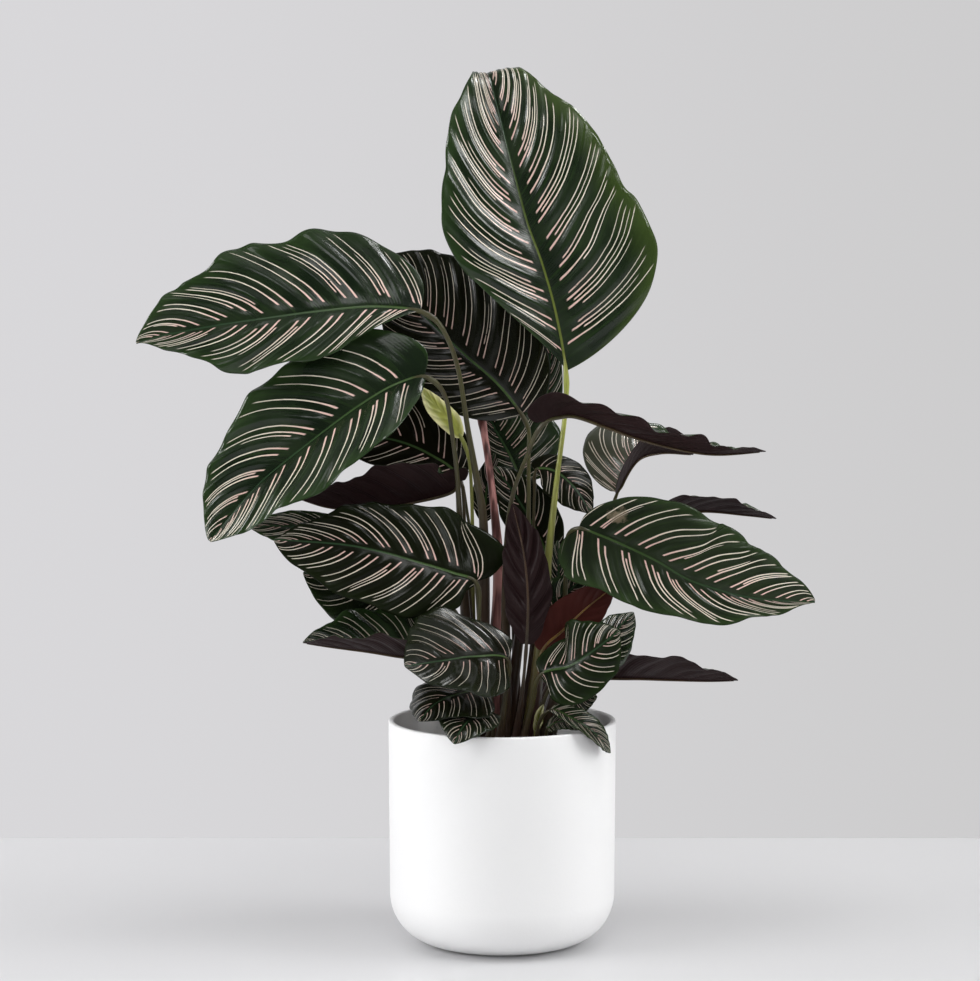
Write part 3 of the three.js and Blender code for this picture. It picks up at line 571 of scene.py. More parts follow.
def upper_face(name, mirroring):
    """The striped dark green face; mirroring is the shader's specular level, which differs by leaf."""
    material, f, shader = new_material(name)
    place = f.place()
    vein, across, step = f.parts(f.attribute("veins"))[:3]
    share, from_midrib = f.parts(f.attribute("place"))[:2]
    seed, young, tone = f.parts(f.attribute("kind"))[:3]
    dense, stripe_strength_and_shade, backlight_and_shade = f.parts(f.attribute("style"))[:3]
    scarred, first, painted_sheen = f.parts(f.attribute("finish"))[:3]
    out = f.math("ABSOLUTE", across)
    right = f.math("GREATER_THAN", across, 0.0)
    cloud = f.noise(place, 22.0, 3.0)
    mottle = f.noise(place, 160.0, 4.0, 0.65)
    along_veins = f.noise(f.vector(f.mul(vein, 6.0), f.mul(across, 1.5), seed), 1.0, 3.0)
    wobble = f.mul(f.sub(f.noise(f.vector(f.mul(across, 5.0), vein, seed), 1.0, 2.0), 0.5), 0.055)
    values = dict(Vein=vein, Across=across, Step=step, Seed=seed, Wobble=wobble)
    values.update(Dense=dense, Bright=stripe_strength_and_shade, First=first)
    # stripe strength per leaf: partly the stripes' own width and strength, partly painted shade that dims
    # them on leaves in shadow
    stripes = f.mul(use_group(f, pinstripes, **values)[0], stripe_strength_and_shade)
    broken = f.rise(f.noise(f.vector(f.mul(vein, 9.0), f.mul(across, 18.0), seed), 1.0, 2.0), 0.24, 0.31)
    stripes = f.mul(stripes, f.mul(broken, f.ramp(young, 1.0, 0.25)))
    green = f.mix(f.rise(cloud, 0.35, 0.65), (0.0060, 0.0120, 0.0052), (0.0130, 0.0236, 0.0092))
    green = f.mix(f.mul(f.rise(along_veins, 0.45, 0.75), 0.55), green, (0.020, 0.041, 0.011))
    margin = f.mul(f.rise(out, 0.72, 1.0), f.ramp(cloud, 0.4, 1.0))
    green = f.mix(f.mul(margin, 0.7), green, (0.026, 0.056, 0.013))
    # painted light: a lime glow on the right margin, as light shining through from behind
    lime = f.mul(f.rise(f.mul(out, f.math("SIGN", across)), 0.66, 1.1), f.most(backlight_and_shade, 0.0))
    green = f.mix(lime, green, (0.085, 0.125, 0.018))
    # a darker blade where the value is below 0: partly the leaf's own darker green, partly painted shade
    green = f.mix(f.math("MULTIPLY", backlight_and_shade, -1.0, clamp=True), green, (0.0048, 0.0046, 0.0020))
    pale = f.mix(f.rise(out, 0.4, 1.0), (0.32, 0.34, 0.07), (0.75, 0.72, 0.36))
    green = f.mix(young, green, pale)
    # painted sheen: part of the green is turned grey, standing in for a grey reflection
    green = f.mix(painted_sheen, green, (0.105, 0.105, 0.075))
    stripe_colour = f.mix(f.rise(out, 0.10, 0.6), (0.82, 0.54, 0.49), (0.88, 0.80, 0.67))
    stripe_colour = f.mix(f.mul(mottle, 0.2), stripe_colour, (0.34, 0.30, 0.20))
    colour = f.mix(f.mul(stripes, 0.94), green, stripe_colour)
    rib_half = f.ramp(share, 0.010, 0.005)
    rib = f.rise(f.sub(from_midrib, rib_half), 0.004, -0.003)
    rib_colour = f.mix(f.rise(share, 0.0, 0.75), (0.055, 0.100, 0.028), (0.020, 0.046, 0.020))
    lime_rib = f.mul(f.rise(tone, 0.3, 0.0), f.rise(share, 0.75, 0.1))
    rib_colour = f.mix(lime_rib, rib_colour, (0.17, 0.21, 0.035))
    colour = f.mix(f.mul(rib, f.ramp(young, 0.9, 0.1)), colour, rib_colour)
    scar_away = f.math("POWER", f.mul(f.sub(share, SCAR_SHARE), 22.0), 2.0)
    scar_away = f.add(scar_away, f.math("POWER", f.mul(f.sub(from_midrib, SCAR_OUT), 11.0), 2.0))
    scar = f.rise(f.add(scar_away, f.mul(mottle, 4.0)), 2.9, 1.8)
    scar = f.mul(scar, f.mul(scarred, f.ramp(right, 1.0, 0.0)))
    colour = f.mix(f.mul(scar, 0.75), colour, f.mix(mottle, (0.11, 0.07, 0.035), (0.50, 0.42, 0.30)))
    roughness = f.add(f.ramp(mottle, 0.15, 0.23), f.mul(f.rise(cloud, 0.4, 0.7), 0.07))
    fine_veins = f.math("SINE", f.mul(vein, 2 * math.pi * 11))
    relief = f.add(f.mul(fine_veins, 0.04), f.add(f.mul(mottle, 0.5), f.mul(stripes, 0.15)))
    finish(f, shader, colour, roughness, f.bump(relief, 0.0006, 0.55))
    shader.inputs["Specular IOR Level"].default_value = mirroring
    return material


UPPER = {
    "dull": upper_face("leaf_upper_dull", 0.1),
    "satin": upper_face("leaf_upper", 0.45),
    "glossy": upper_face("leaf_upper_glossy", 0.85),
}
print("upper faces:", ", ".join(UPPER))

# %% [markdown]
# ## The underside
# The underside is a dark purple-brown and quite matt. Fine veins show as slightly darker lines and
# as a low relief. Light from behind makes one leaf glow red, and young leaves are pale here too.

# %% Underside
under, f, shader = new_material("leaf_underside")
place = f.place()
vein = f.parts(f.attribute("veins"))[0]
young, tone = f.parts(f.attribute("kind"))[1:3]
cloud = f.noise(place, 30.0, 3.0)
mottle = f.noise(place, 220.0, 3.0, 0.6)
fine_veins = f.math("SINE", f.mul(vein, 2 * math.pi * 7))
purple = f.mix(cloud, (0.010, 0.0042, 0.0045), (0.024, 0.0098, 0.0105))
purple = f.mix(f.mul(f.rise(fine_veins, 0.6, 1.0), 0.35), purple, (0.015, 0.006, 0.007))
purple = f.mix(f.mul(f.rise(tone, 1.0, 1.5), 0.8), purple, (0.085, 0.016, 0.011))
colour = f.mix(young, purple, (0.33, 0.38, 0.10))
colour = f.mix(f.mul(mottle, 0.15), colour, (0.04, 0.023, 0.021))
relief = f.add(f.mul(fine_veins, 0.3), mottle)
finish(f, shader, colour, f.ramp(mottle, 0.48, 0.62), f.bump(relief, 0.0005, 0.5))
shader.inputs["Specular IOR Level"].default_value = 0.16
print("underside:", under.name)

# %% [markdown]
# ## The stem
# Stems run from lime over olive and maroon to pink. Near the soil they turn darker and redder,
# partly their own colour and partly painted shade among the crowded stems. Noise that is stretched
# along the stem gives its fibres and streaks, and long dark streaks of painted shade. The same finish
# goes on under the blade, where the stem becomes the midrib.

# %% Stem
stem_look, f, shader = new_material("leaf_stem")
place = f.place()
share = f.parts(f.attribute("place"))[0]
tone = f.parts(f.attribute("kind"))[2]
fibres = f.noise(f.scaled(place, (1.0, 1.0, 0.06)), 900.0, 3.0)
cloud = f.noise(place, 40.0, 3.0)
lime = f.mix(cloud, (0.31, 0.36, 0.055), (0.48, 0.50, 0.125))
olive = f.mix(cloud, (0.036, 0.038, 0.013), (0.085, 0.080, 0.028))
maroon = f.mix(cloud, (0.020, 0.008, 0.007), (0.042, 0.017, 0.013))
colour = f.mix(f.rise(tone, 0.0, 0.5), lime, olive)
colour = f.mix(f.rise(tone, 0.5, 1.0), colour, maroon)
# darker and redder towards the soil: partly the stem's own colour, partly painted shade among the stems
low = f.mul(f.rise(share, 0.85, 0.25), f.ramp(cloud, 0.6, 1.0))
colour = f.mix(low, colour, (0.034, 0.011, 0.010))
streaks = f.rise(f.noise(f.scaled(place, (1.0, 1.0, 0.04)), 170.0, 2.0), 0.36, 0.62)
colour = f.mix(f.rise(tone, 1.6, 2.0), colour, f.mix(streaks, (0.12, 0.030, 0.032), (0.50, 0.23, 0.21)))
colour = f.mix(f.mul(f.rise(share, 1.0, 1.4), 0.5), colour, (0.10, 0.050, 0.030))
amber = f.mul(f.rise(tone, 1.2, 1.5), f.mul(f.rise(tone, 1.8, 1.5), f.rise(share, 0.7, 1.0)))
colour = f.mix(amber, colour, (0.26, 0.15, 0.035))
# painted shade: long dark streaks stand in for the shaded side of the stem
shade = f.mul(f.ramp(streaks, 0.55, 0.1), f.ramp(fibres, 0.5, 1.5))
colour = f.mix(shade, colour, (0.03, 0.018, 0.010))
finish(f, shader, colour, f.ramp(fibres, 0.24, 0.38), f.bump(fibres, 0.0004, 0.5))
print("stem:", stem_look.name)

# %% [markdown]
# ## The line of a leaf
# A leaf hangs on one curve: up out of the soil, along the stem and on along the midrib to the tip.
# A centripetal Catmull-Rom curve goes through every given point and doesn't overshoot where points
# lie unevenly, which suits points that are read off a picture.

# %% Curve and line
BURIED = 20.0  # how deep a stem stands in the soil
STEPS = 20  # points of the curve for each given span


def curve_through(given):
    """Each span is a cubic through its two points. Its end slopes mix the slopes to the neighbouring
    points, with weights from the square roots of the distances between them."""
    p = np.vstack([2 * given[0] - given[1], given, 2 * given[-1] - given[-2]])
    gap = np.sqrt(np.linalg.norm(np.diff(p, axis=0), axis=1))[:, None]
    gap0, gap1, gap2 = gap[:-2], gap[1:-1], gap[2:]
    p0, p1, p2, p3 = p[:-3], p[1:-2], p[2:-1], p[3:]
    slope1 = ((p1 - p0) / gap0 - (p2 - p0) / (gap0 + gap1) + (p2 - p1) / gap1) * gap1
    slope2 = ((p2 - p1) / gap1 - (p3 - p1) / (gap1 + gap2) + (p3 - p2) / gap2) * gap1
    square, cube = -3 * p1 + 3 * p2 - 2 * slope1 - slope2, 2 * p1 - 2 * p2 + slope1 + slope2
    t = (np.arange(STEPS) / STEPS)[None, :, None]
    spans = p1[:, None] + slope1[:, None] * t + square[:, None] * t**2 + cube[:, None] * t**3
    return np.vstack([spans.reshape(-1, 3), given[-1:]])


def unit(vectors):
    return vectors / np.maximum(np.linalg.norm(vectors, axis=-1, keepdims=True), 1e-9)


class LeafLine:
    """Points and directions of a leaf at shares of its stem or of its blade, measured along it."""

    def __init__(self, leaf):
        x, y = leaf["root"]
        start = [(x, y, soil_height(x, y) + rise) for rise in (-BURIED, -BURIED / 2, 2)]
        self.points = curve_through(np.array([*start, *leaf["stem"], *leaf["blade"]], float))
        joint = STEPS * (len(start) + len(leaf["stem"]))
        steps = np.linalg.norm(np.diff(self.points, axis=0), axis=1)
        self.lengths = np.concatenate([[0], np.cumsum(steps)])
        last = len(self.points) - 1
        number = np.arange(last + 1)
        ahead, behind = np.minimum(number + 2, last), np.maximum(number - 2, 0)
        self.directions = unit(self.points[ahead] - self.points[behind])
        self.ends = {"stem": (0, self.lengths[joint]), "blade": (self.lengths[joint], self.lengths[-1])}
        self.blade_length = self.lengths[-1] - self.lengths[joint]
        self.stem_length = self.lengths[joint]

    def at(self, part, share):
        low, high = self.ends[part]
        wanted = low + (high - low) * np.clip(share, 0, 1)
        number = np.interp(wanted, self.lengths, np.arange(len(self.lengths)))
        first = np.minimum(number.astype(int), len(self.lengths) - 2)
        rest = (number - first)[..., None]
        point = self.points[first] * (1 - rest) + self.points[first + 1] * rest
        direction = self.directions[first] * (1 - rest) + self.directions[first + 1] * rest
        return point, unit(direction)


print("line ready")

# %% [markdown]
# ## The blade
# A point of the blade is found from two numbers: a row from 0 at the base to 1 at the tip, and a
# place across from -1 to 1. The half width swells and shrinks along an outline, each half is folded
# at the midrib and bends like an arc, and the margin ripples. On top of that form come the pleats:
# the blade is drawn in along its side veins, which leave the midrib at about 45 degrees and bend
# towards the tip.

# %% Blade formulas
SWEEP = 0.55  # how far the rows are swept towards the tip, as a share of the blade
THINNEST_HALF = 0.45
LOBE_FADE = 6  # the higher, the shorter the part of the blade that the lobe takes
FLATTEST_CURL = 0.1  # degrees; a curl of 0 would divide by 0
RIPPLE_LEAD = 0.37  # waves that the right margin's ripple is ahead of the left one's
RIPPLE_OUTWARDS = 0.6  # how much of the ripple goes outwards
VEIN_SWEEP = 1.3  # how much a side vein bends towards the tip
VEIN_LIFT = 0.15  # how much further the veins near the base lean
VEIN_SLANT = 0.45  # 1 makes a side vein straight, 0 lets it leave the midrib squarely


def pair(value):
    """Values of the left and of the right half; a single one stands for both."""
    return value if isinstance(value, tuple) else (value, value)


def outline(widest, base, tip, share):
    """Half width as a share of the widest: (1 - u^2) to a power, where u is the distance from the
    widest place as a share of the way to the base or to the tip."""
    before = share < widest
    away = np.where(before, 1 - share / widest, 1 - (1 - share) / (1 - widest))
    return np.maximum(1 - away**2, 0) ** np.where(before, base, tip)


def face_at(faces, share):
    """The way the upper face looks: a straight mix of the given directions along the blade."""
    faces = np.atleast_2d(faces)
    given = np.linspace(0, 1, len(faces))
    return np.stack([np.interp(np.clip(share, 0, 1), given, axis) for axis in faces.T], axis=-1)


def blade_points(leaf, line, row, across):
    """Points between the two faces, and their share of the blade's length.
    Share = row + the sweep of the side veins - the lobe that reaches back past the stem.
    Outwards and height = an arc that starts at the fold's angle and turns by the curl, + ripple."""
    right_half = across >= 0
    out = np.abs(across)

    def sided(values):
        """Each half's own value."""
        return np.where(right_half, values[1], values[0])

    widest, base, tip, lobe = (sided(values) for values in zip(*leaf["shape"]))
    reach = SWEEP * row * (1 - row)
    width = outline(widest, base, tip, np.minimum(row + reach, 1))
    back = lobe * np.sqrt(width) * (1 - row) ** LOBE_FADE * out**2
    share = row + reach * out**1.5 - back
    point, direction = line.at("blade", share)
    point = point + direction * (np.minimum(share, 0) * line.blade_length)[..., None]
    right = unit(np.cross(direction, face_at(leaf["faces"], share)))
    up = np.cross(right, direction)
    half = np.maximum(sided(pair(leaf["half"])) * width, THINNEST_HALF)
    folds = [np.atleast_1d(angles) for angles in pair(leaf["fold"])]
    folds = [np.interp(row, np.linspace(0, 1, len(angles)), angles) for angles in folds]
    fold = np.radians(sided(folds))
    curl = np.radians(sided([angle or FLATTEST_CURL for angle in pair(leaf["curl"])]))
    bent = half / curl
    depth, waves, phase = leaf["wave"]
    turns = 2 * np.pi * (waves * row + phase + RIPPLE_LEAD * right_half)
    ripple = depth * out**2 * np.sin(np.pi * row)
    outwards = bent * (np.sin(fold + curl * out) - np.sin(fold)) + RIPPLE_OUTWARDS * ripple * np.cos(turns)
    height = bent * (np.cos(fold) - np.cos(fold + curl * out)) + ripple * np.sin(turns)
    return point + right * (np.sign(across) * outwards)[..., None] + up * height[..., None], share, half


def blade_normals(leaf, line, row, across):
    """Cross product of the way across and the way along, from points 0.01 to each side."""
    step = 0.01
    ahead = blade_points(leaf, line, np.minimum(row + step, 0.995), across)[0]
    behind = blade_points(leaf, line, np.maximum(row - step, 0.005), across)[0]
    over = blade_points(leaf, line, row, np.minimum(across + step, 1))[0]
    over = over - blade_points(leaf, line, row, np.maximum(across - step, -1))[0]
    return unit(np.cross(over, ahead - behind))


def vein_row(share, out):
    """The row in which a side vein left the midrib: the inverse of
    share = 1 - (1 - row)^(1 + sweep * bend) + lift * bend * (1 - row)^3, nearly."""
    bend = VEIN_SLANT * out + (1 - VEIN_SLANT) * out**3
    left = np.maximum(1 - share + VEIN_LIFT * bend * (1 - share) ** 2, 0)
    return 1 - left ** (1 / (1 + VEIN_SWEEP * bend))


def step_size(points, value):
    """Millimetres that one step of a value measures: 1 / the length of its gradient, from the
    surface's own lengths along and across."""
    along, over = np.gradient(points, axis=0), np.gradient(points, axis=1)
    value_along, value_over = np.gradient(value, axis=0), np.gradient(value, axis=1)
    e, g, mixed = (along**2).sum(-1), (over**2).sum(-1), (along * over).sum(-1)
    square = g * value_along**2 - 2 * mixed * value_along * value_over + e * value_over**2
    return np.sqrt(np.maximum(e * g - mixed**2, 1e-9) / np.maximum(square, 1e-9))


print("blade formulas ready")

# %% [markdown]
# ## One leaf
# The blade's rings run over the upper face and back under it, as on a real blade with a thin
# margin. The stem is a round tube that is wider where it sheathes its neighbours near the soil and
# at the joint under the blade, with which the plant turns its leaves. It goes on under the blade as
# the midrib and gets thinner towards the tip.

# %% Build a leaf
LEAF_THICKNESS, MARGIN_THICKNESS = 0.62, 0.3
LAST_ROW = 0.996  # the rows end just before the tip, where the blade has no width
PLEAT_DEPTH = 0.055  # as a share of the way from one side vein to the next
BUCKLE_DEPTH = 0.9
GROOVE_DEPTH, GROOVE_WIDTH = 0.5, 1.5  # the groove over the midrib
STEM_SIDES = 14
STEM_TAPER = 0.28  # how much thinner a stem is at its top
SHEATH_SWELL, JOINT_SWELL = 1.25, 0.32  # how much wider it is at its sheath and at its joint
JOINT_BELOW, JOINT_LENGTH = 9, 7  # how far below the blade the joint is, and its length
RIB_RADIUS, THINNEST_RIB = 0.66, 0.12  # of the midrib: a share of the stem's radius, millimetres
RIB_SUNK = 0.35  # how deep the midrib is sunk in the blade
EVEN_VALUES = dict(style=("dense", "stripe_strength_and_shade", "backlight_and_shade"), finish=("scar", "first", "painted_sheen"))


def smooth(value, low, high):
    """0 at low, 1 at high, with level ends: t * t * (3 - 2 t)."""
    t = np.clip((value - low) / (high - low), 0, 1)
    return t * t * (3 - 2 * t)


def blade_rings(leaf, line, rows, columns, seed):
    """Rings of the blade, with the attributes of each point.
    Pleat = amplitude * cosine of the vein number, fading at the midrib, the margin and both ends."""
    even = np.linspace(0, 1, rows)
    row = LAST_ROW * (1 - (1 - even**1.35) ** 1.2)
    spread = np.linspace(-1, 1, columns)
    across = np.sign(spread) * np.abs(spread) ** 1.15
    row, across = np.meshgrid(row, across, indexing="ij")
    out = np.abs(across)
    points, share, half = blade_points(leaf, line, row, across)
    normal = blade_normals(leaf, line, row, across)
    vein = leaf["pairs"] * vein_row(share, out)
    step = np.clip(step_size(points, vein), 0.5, 60)
    pitch = line.blade_length / leaf["pairs"]
    ends = smooth(row, 0.02, 0.14) * (1 - smooth(row, 0.68, 0.96))
    fade = smooth(out, 0.03, 0.35) * (1 - 0.35 * out**2) * ends
    number = vein + 0.5 * (across > 0)
    turn = 2 * np.pi * (number - 0.02)
    pleat = leaf["pleat"] * PLEAT_DEPTH * pitch * (np.cos(turn) + 0.3 * np.cos(2 * turn + 0.6)) * fade
    draws = np.random.default_rng(seed).uniform(0, 2 * np.pi, 4)
    buckle = np.sin(9 * row + draws[0]) * np.sin(4 * across + draws[1])
    finer = 0.5 * np.sin(21 * row + draws[2] + 3 * across)
    buckle += finer + 0.35 * np.sin(33 * row + draws[3] - 5 * across)
    buckle *= BUCKLE_DEPTH * out * ends * min(pitch / 24, 1)
    distance = half * out
    groove = -GROOVE_DEPTH * np.exp(-((distance / GROOVE_WIDTH) ** 2)) * (1 - row) * smooth(row, 0.0, 0.08)
    middle = points + normal * (pleat + buckle + groove)[..., None]
    outwards = unit(np.gradient(points, axis=1)) * np.sign(across)[..., None]
    scallop = np.cos(turn + draws[0]) + 0.6 * np.cos(0.57 * turn + draws[1])
    scallop *= leaf["frill"] * out**3 * ends * np.minimum(step / 30, 1)
    middle = middle + (outwards + 0.8 * normal) * scallop[..., None]
    thick = LEAF_THICKNESS + (MARGIN_THICKNESS - LEAF_THICKNESS) * out**2
    top = middle + normal * (thick / 2)[..., None]
    bottom = middle - normal * (thick / 2)[..., None]
    veins = np.stack([vein, across, step / DECIMETRE], axis=-1)
    place = np.stack([share, distance / DECIMETRE, 0 * share], axis=-1)
    both_faces = ((top, bottom), (veins, veins), (place, place))
    return [np.concatenate([upper, lower[:, ::-1]], axis=1) for upper, lower in both_faces]


def stem_rings(leaf, line, rows):
    """Rings of the stem and of the midrib under the blade, with the share along them.
    Radius = the stem's, wider by a soft bump at the sheath and at the joint, then tapering as
    (1 - share)^0.7 under the blade."""
    on_stem = np.linspace(0, 1, rows)
    on_blade = np.linspace(0, 0.97, rows)[1:]
    point, direction = line.at("stem", on_stem)
    rib_point, rib_direction = line.at("blade", on_blade)
    rib_up = blade_normals(leaf, line, on_blade, 0 * on_blade)
    radius = leaf["radius"] * (1 - STEM_TAPER * np.minimum(on_stem * 1.4, 1))
    sheath = 1 + SHEATH_SWELL * (1 - smooth(on_stem, 0.25, 0.85))
    joint_at = 1 - JOINT_BELOW / line.stem_length
    joint = 1 + JOINT_SWELL * np.exp(-(((on_stem - joint_at) * line.stem_length / JOINT_LENGTH) ** 2))
    radius = radius * sheath * joint * leaf["stout"]
    rib = RIB_RADIUS * leaf["radius"] * (1 - on_blade) ** 0.7 + THINNEST_RIB
    sunk = (rib + RIB_SUNK) * smooth(on_blade, 0.0, 0.07)
    rib_point = rib_point - rib_up * sunk[..., None]
    centre = np.concatenate([point, rib_point])
    heading = np.concatenate([direction, rib_direction])
    radius = np.concatenate([radius, rib])
    right = unit(np.cross(heading, face_at(leaf["faces"], 0 * radius)))
    up = np.cross(right, heading)
    angle = np.pi * (1 - 2 * (np.arange(STEM_SIDES) + 0.5) / STEM_SIDES)
    ring = right[:, None] * np.cos(angle)[None, :, None] + up[:, None] * np.sin(angle)[None, :, None]
    share = np.concatenate([on_stem, 1 + on_blade])
    return centre[:, None] + ring * radius[:, None, None], share


def build_leaf(name, leaf, seed):
    """The blade with its stem as one piece of three finishes, standing in for the plain solid."""
    line = LeafLine(leaf)
    rows, columns = leaf["grid"]
    rings, veins, place = blade_rings(leaf, line, rows, columns, seed)
    points, quads, triangles = loft(rings)
    tube, share = stem_rings(leaf, line, 16 + rows // 3)
    tube_points, tube_quads, tube_triangles = loft(tube)
    around = np.arange(2 * columns)
    ring_look = (around >= columns - 1).astype(int)
    ring_look[-1] = 0
    looks = [np.tile(ring_look, rows - 1), np.full(len(tube_quads), 2), np.tile(ring_look, 2)]
    looks = np.concatenate([*looks, np.full(len(tube_triangles), 2)])
    quads = np.concatenate([quads, tube_quads + len(points)])
    triangles = np.concatenate([triangles, tube_triangles + len(points)])
    corners = np.concatenate([points, tube_points])
    finishes = [UPPER[leaf["polish"]], under, stem_look]
    piece = add_piece(name + "_fine", corners, quads, triangles, finishes, looks)
    blank = np.zeros((len(tube_points), 3))
    tube_place = blank.copy()
    tube_place[:, 0] = per_vertex(np.repeat(share[:, None], STEM_SIDES, axis=1), share[[0, -1]])
    ends = (veins[[0, -1], columns // 2], place[[0, -1], columns // 2])
    add_values(piece, "veins", np.concatenate([per_vertex(veins, ends[0]), blank]))
    add_values(piece, "place", np.concatenate([per_vertex(place, ends[1]), tube_place]))
    add_values(piece, "kind", np.tile([seed, leaf["young"], leaf["tone"]], (len(corners), 1)))
    for label, keys in EVEN_VALUES.items():
        add_values(piece, label, np.tile([leaf[key] for key in keys], (len(corners), 1)))
    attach(piece, "root")
    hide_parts(name)
    return piece


print("leaf builder ready")

# %% [markdown]
# ## The leaves
# One entry for each leaf, in millimetres: where its stem leaves the soil, points of the stem and of
# the midrib, half widths left and right, the outline of both halves (widest place, fullness towards
# the base and the tip, length of the lobe), ways that the upper face looks, how each half is folded
# and curled, the ripple of the margin, and the stem's radius. Left and right are as seen from the
# base of the blade towards its tip, with the upper face up. One number stands for both halves, one
# way for the whole blade, and what an entry doesn't say is as in the plain leaf.

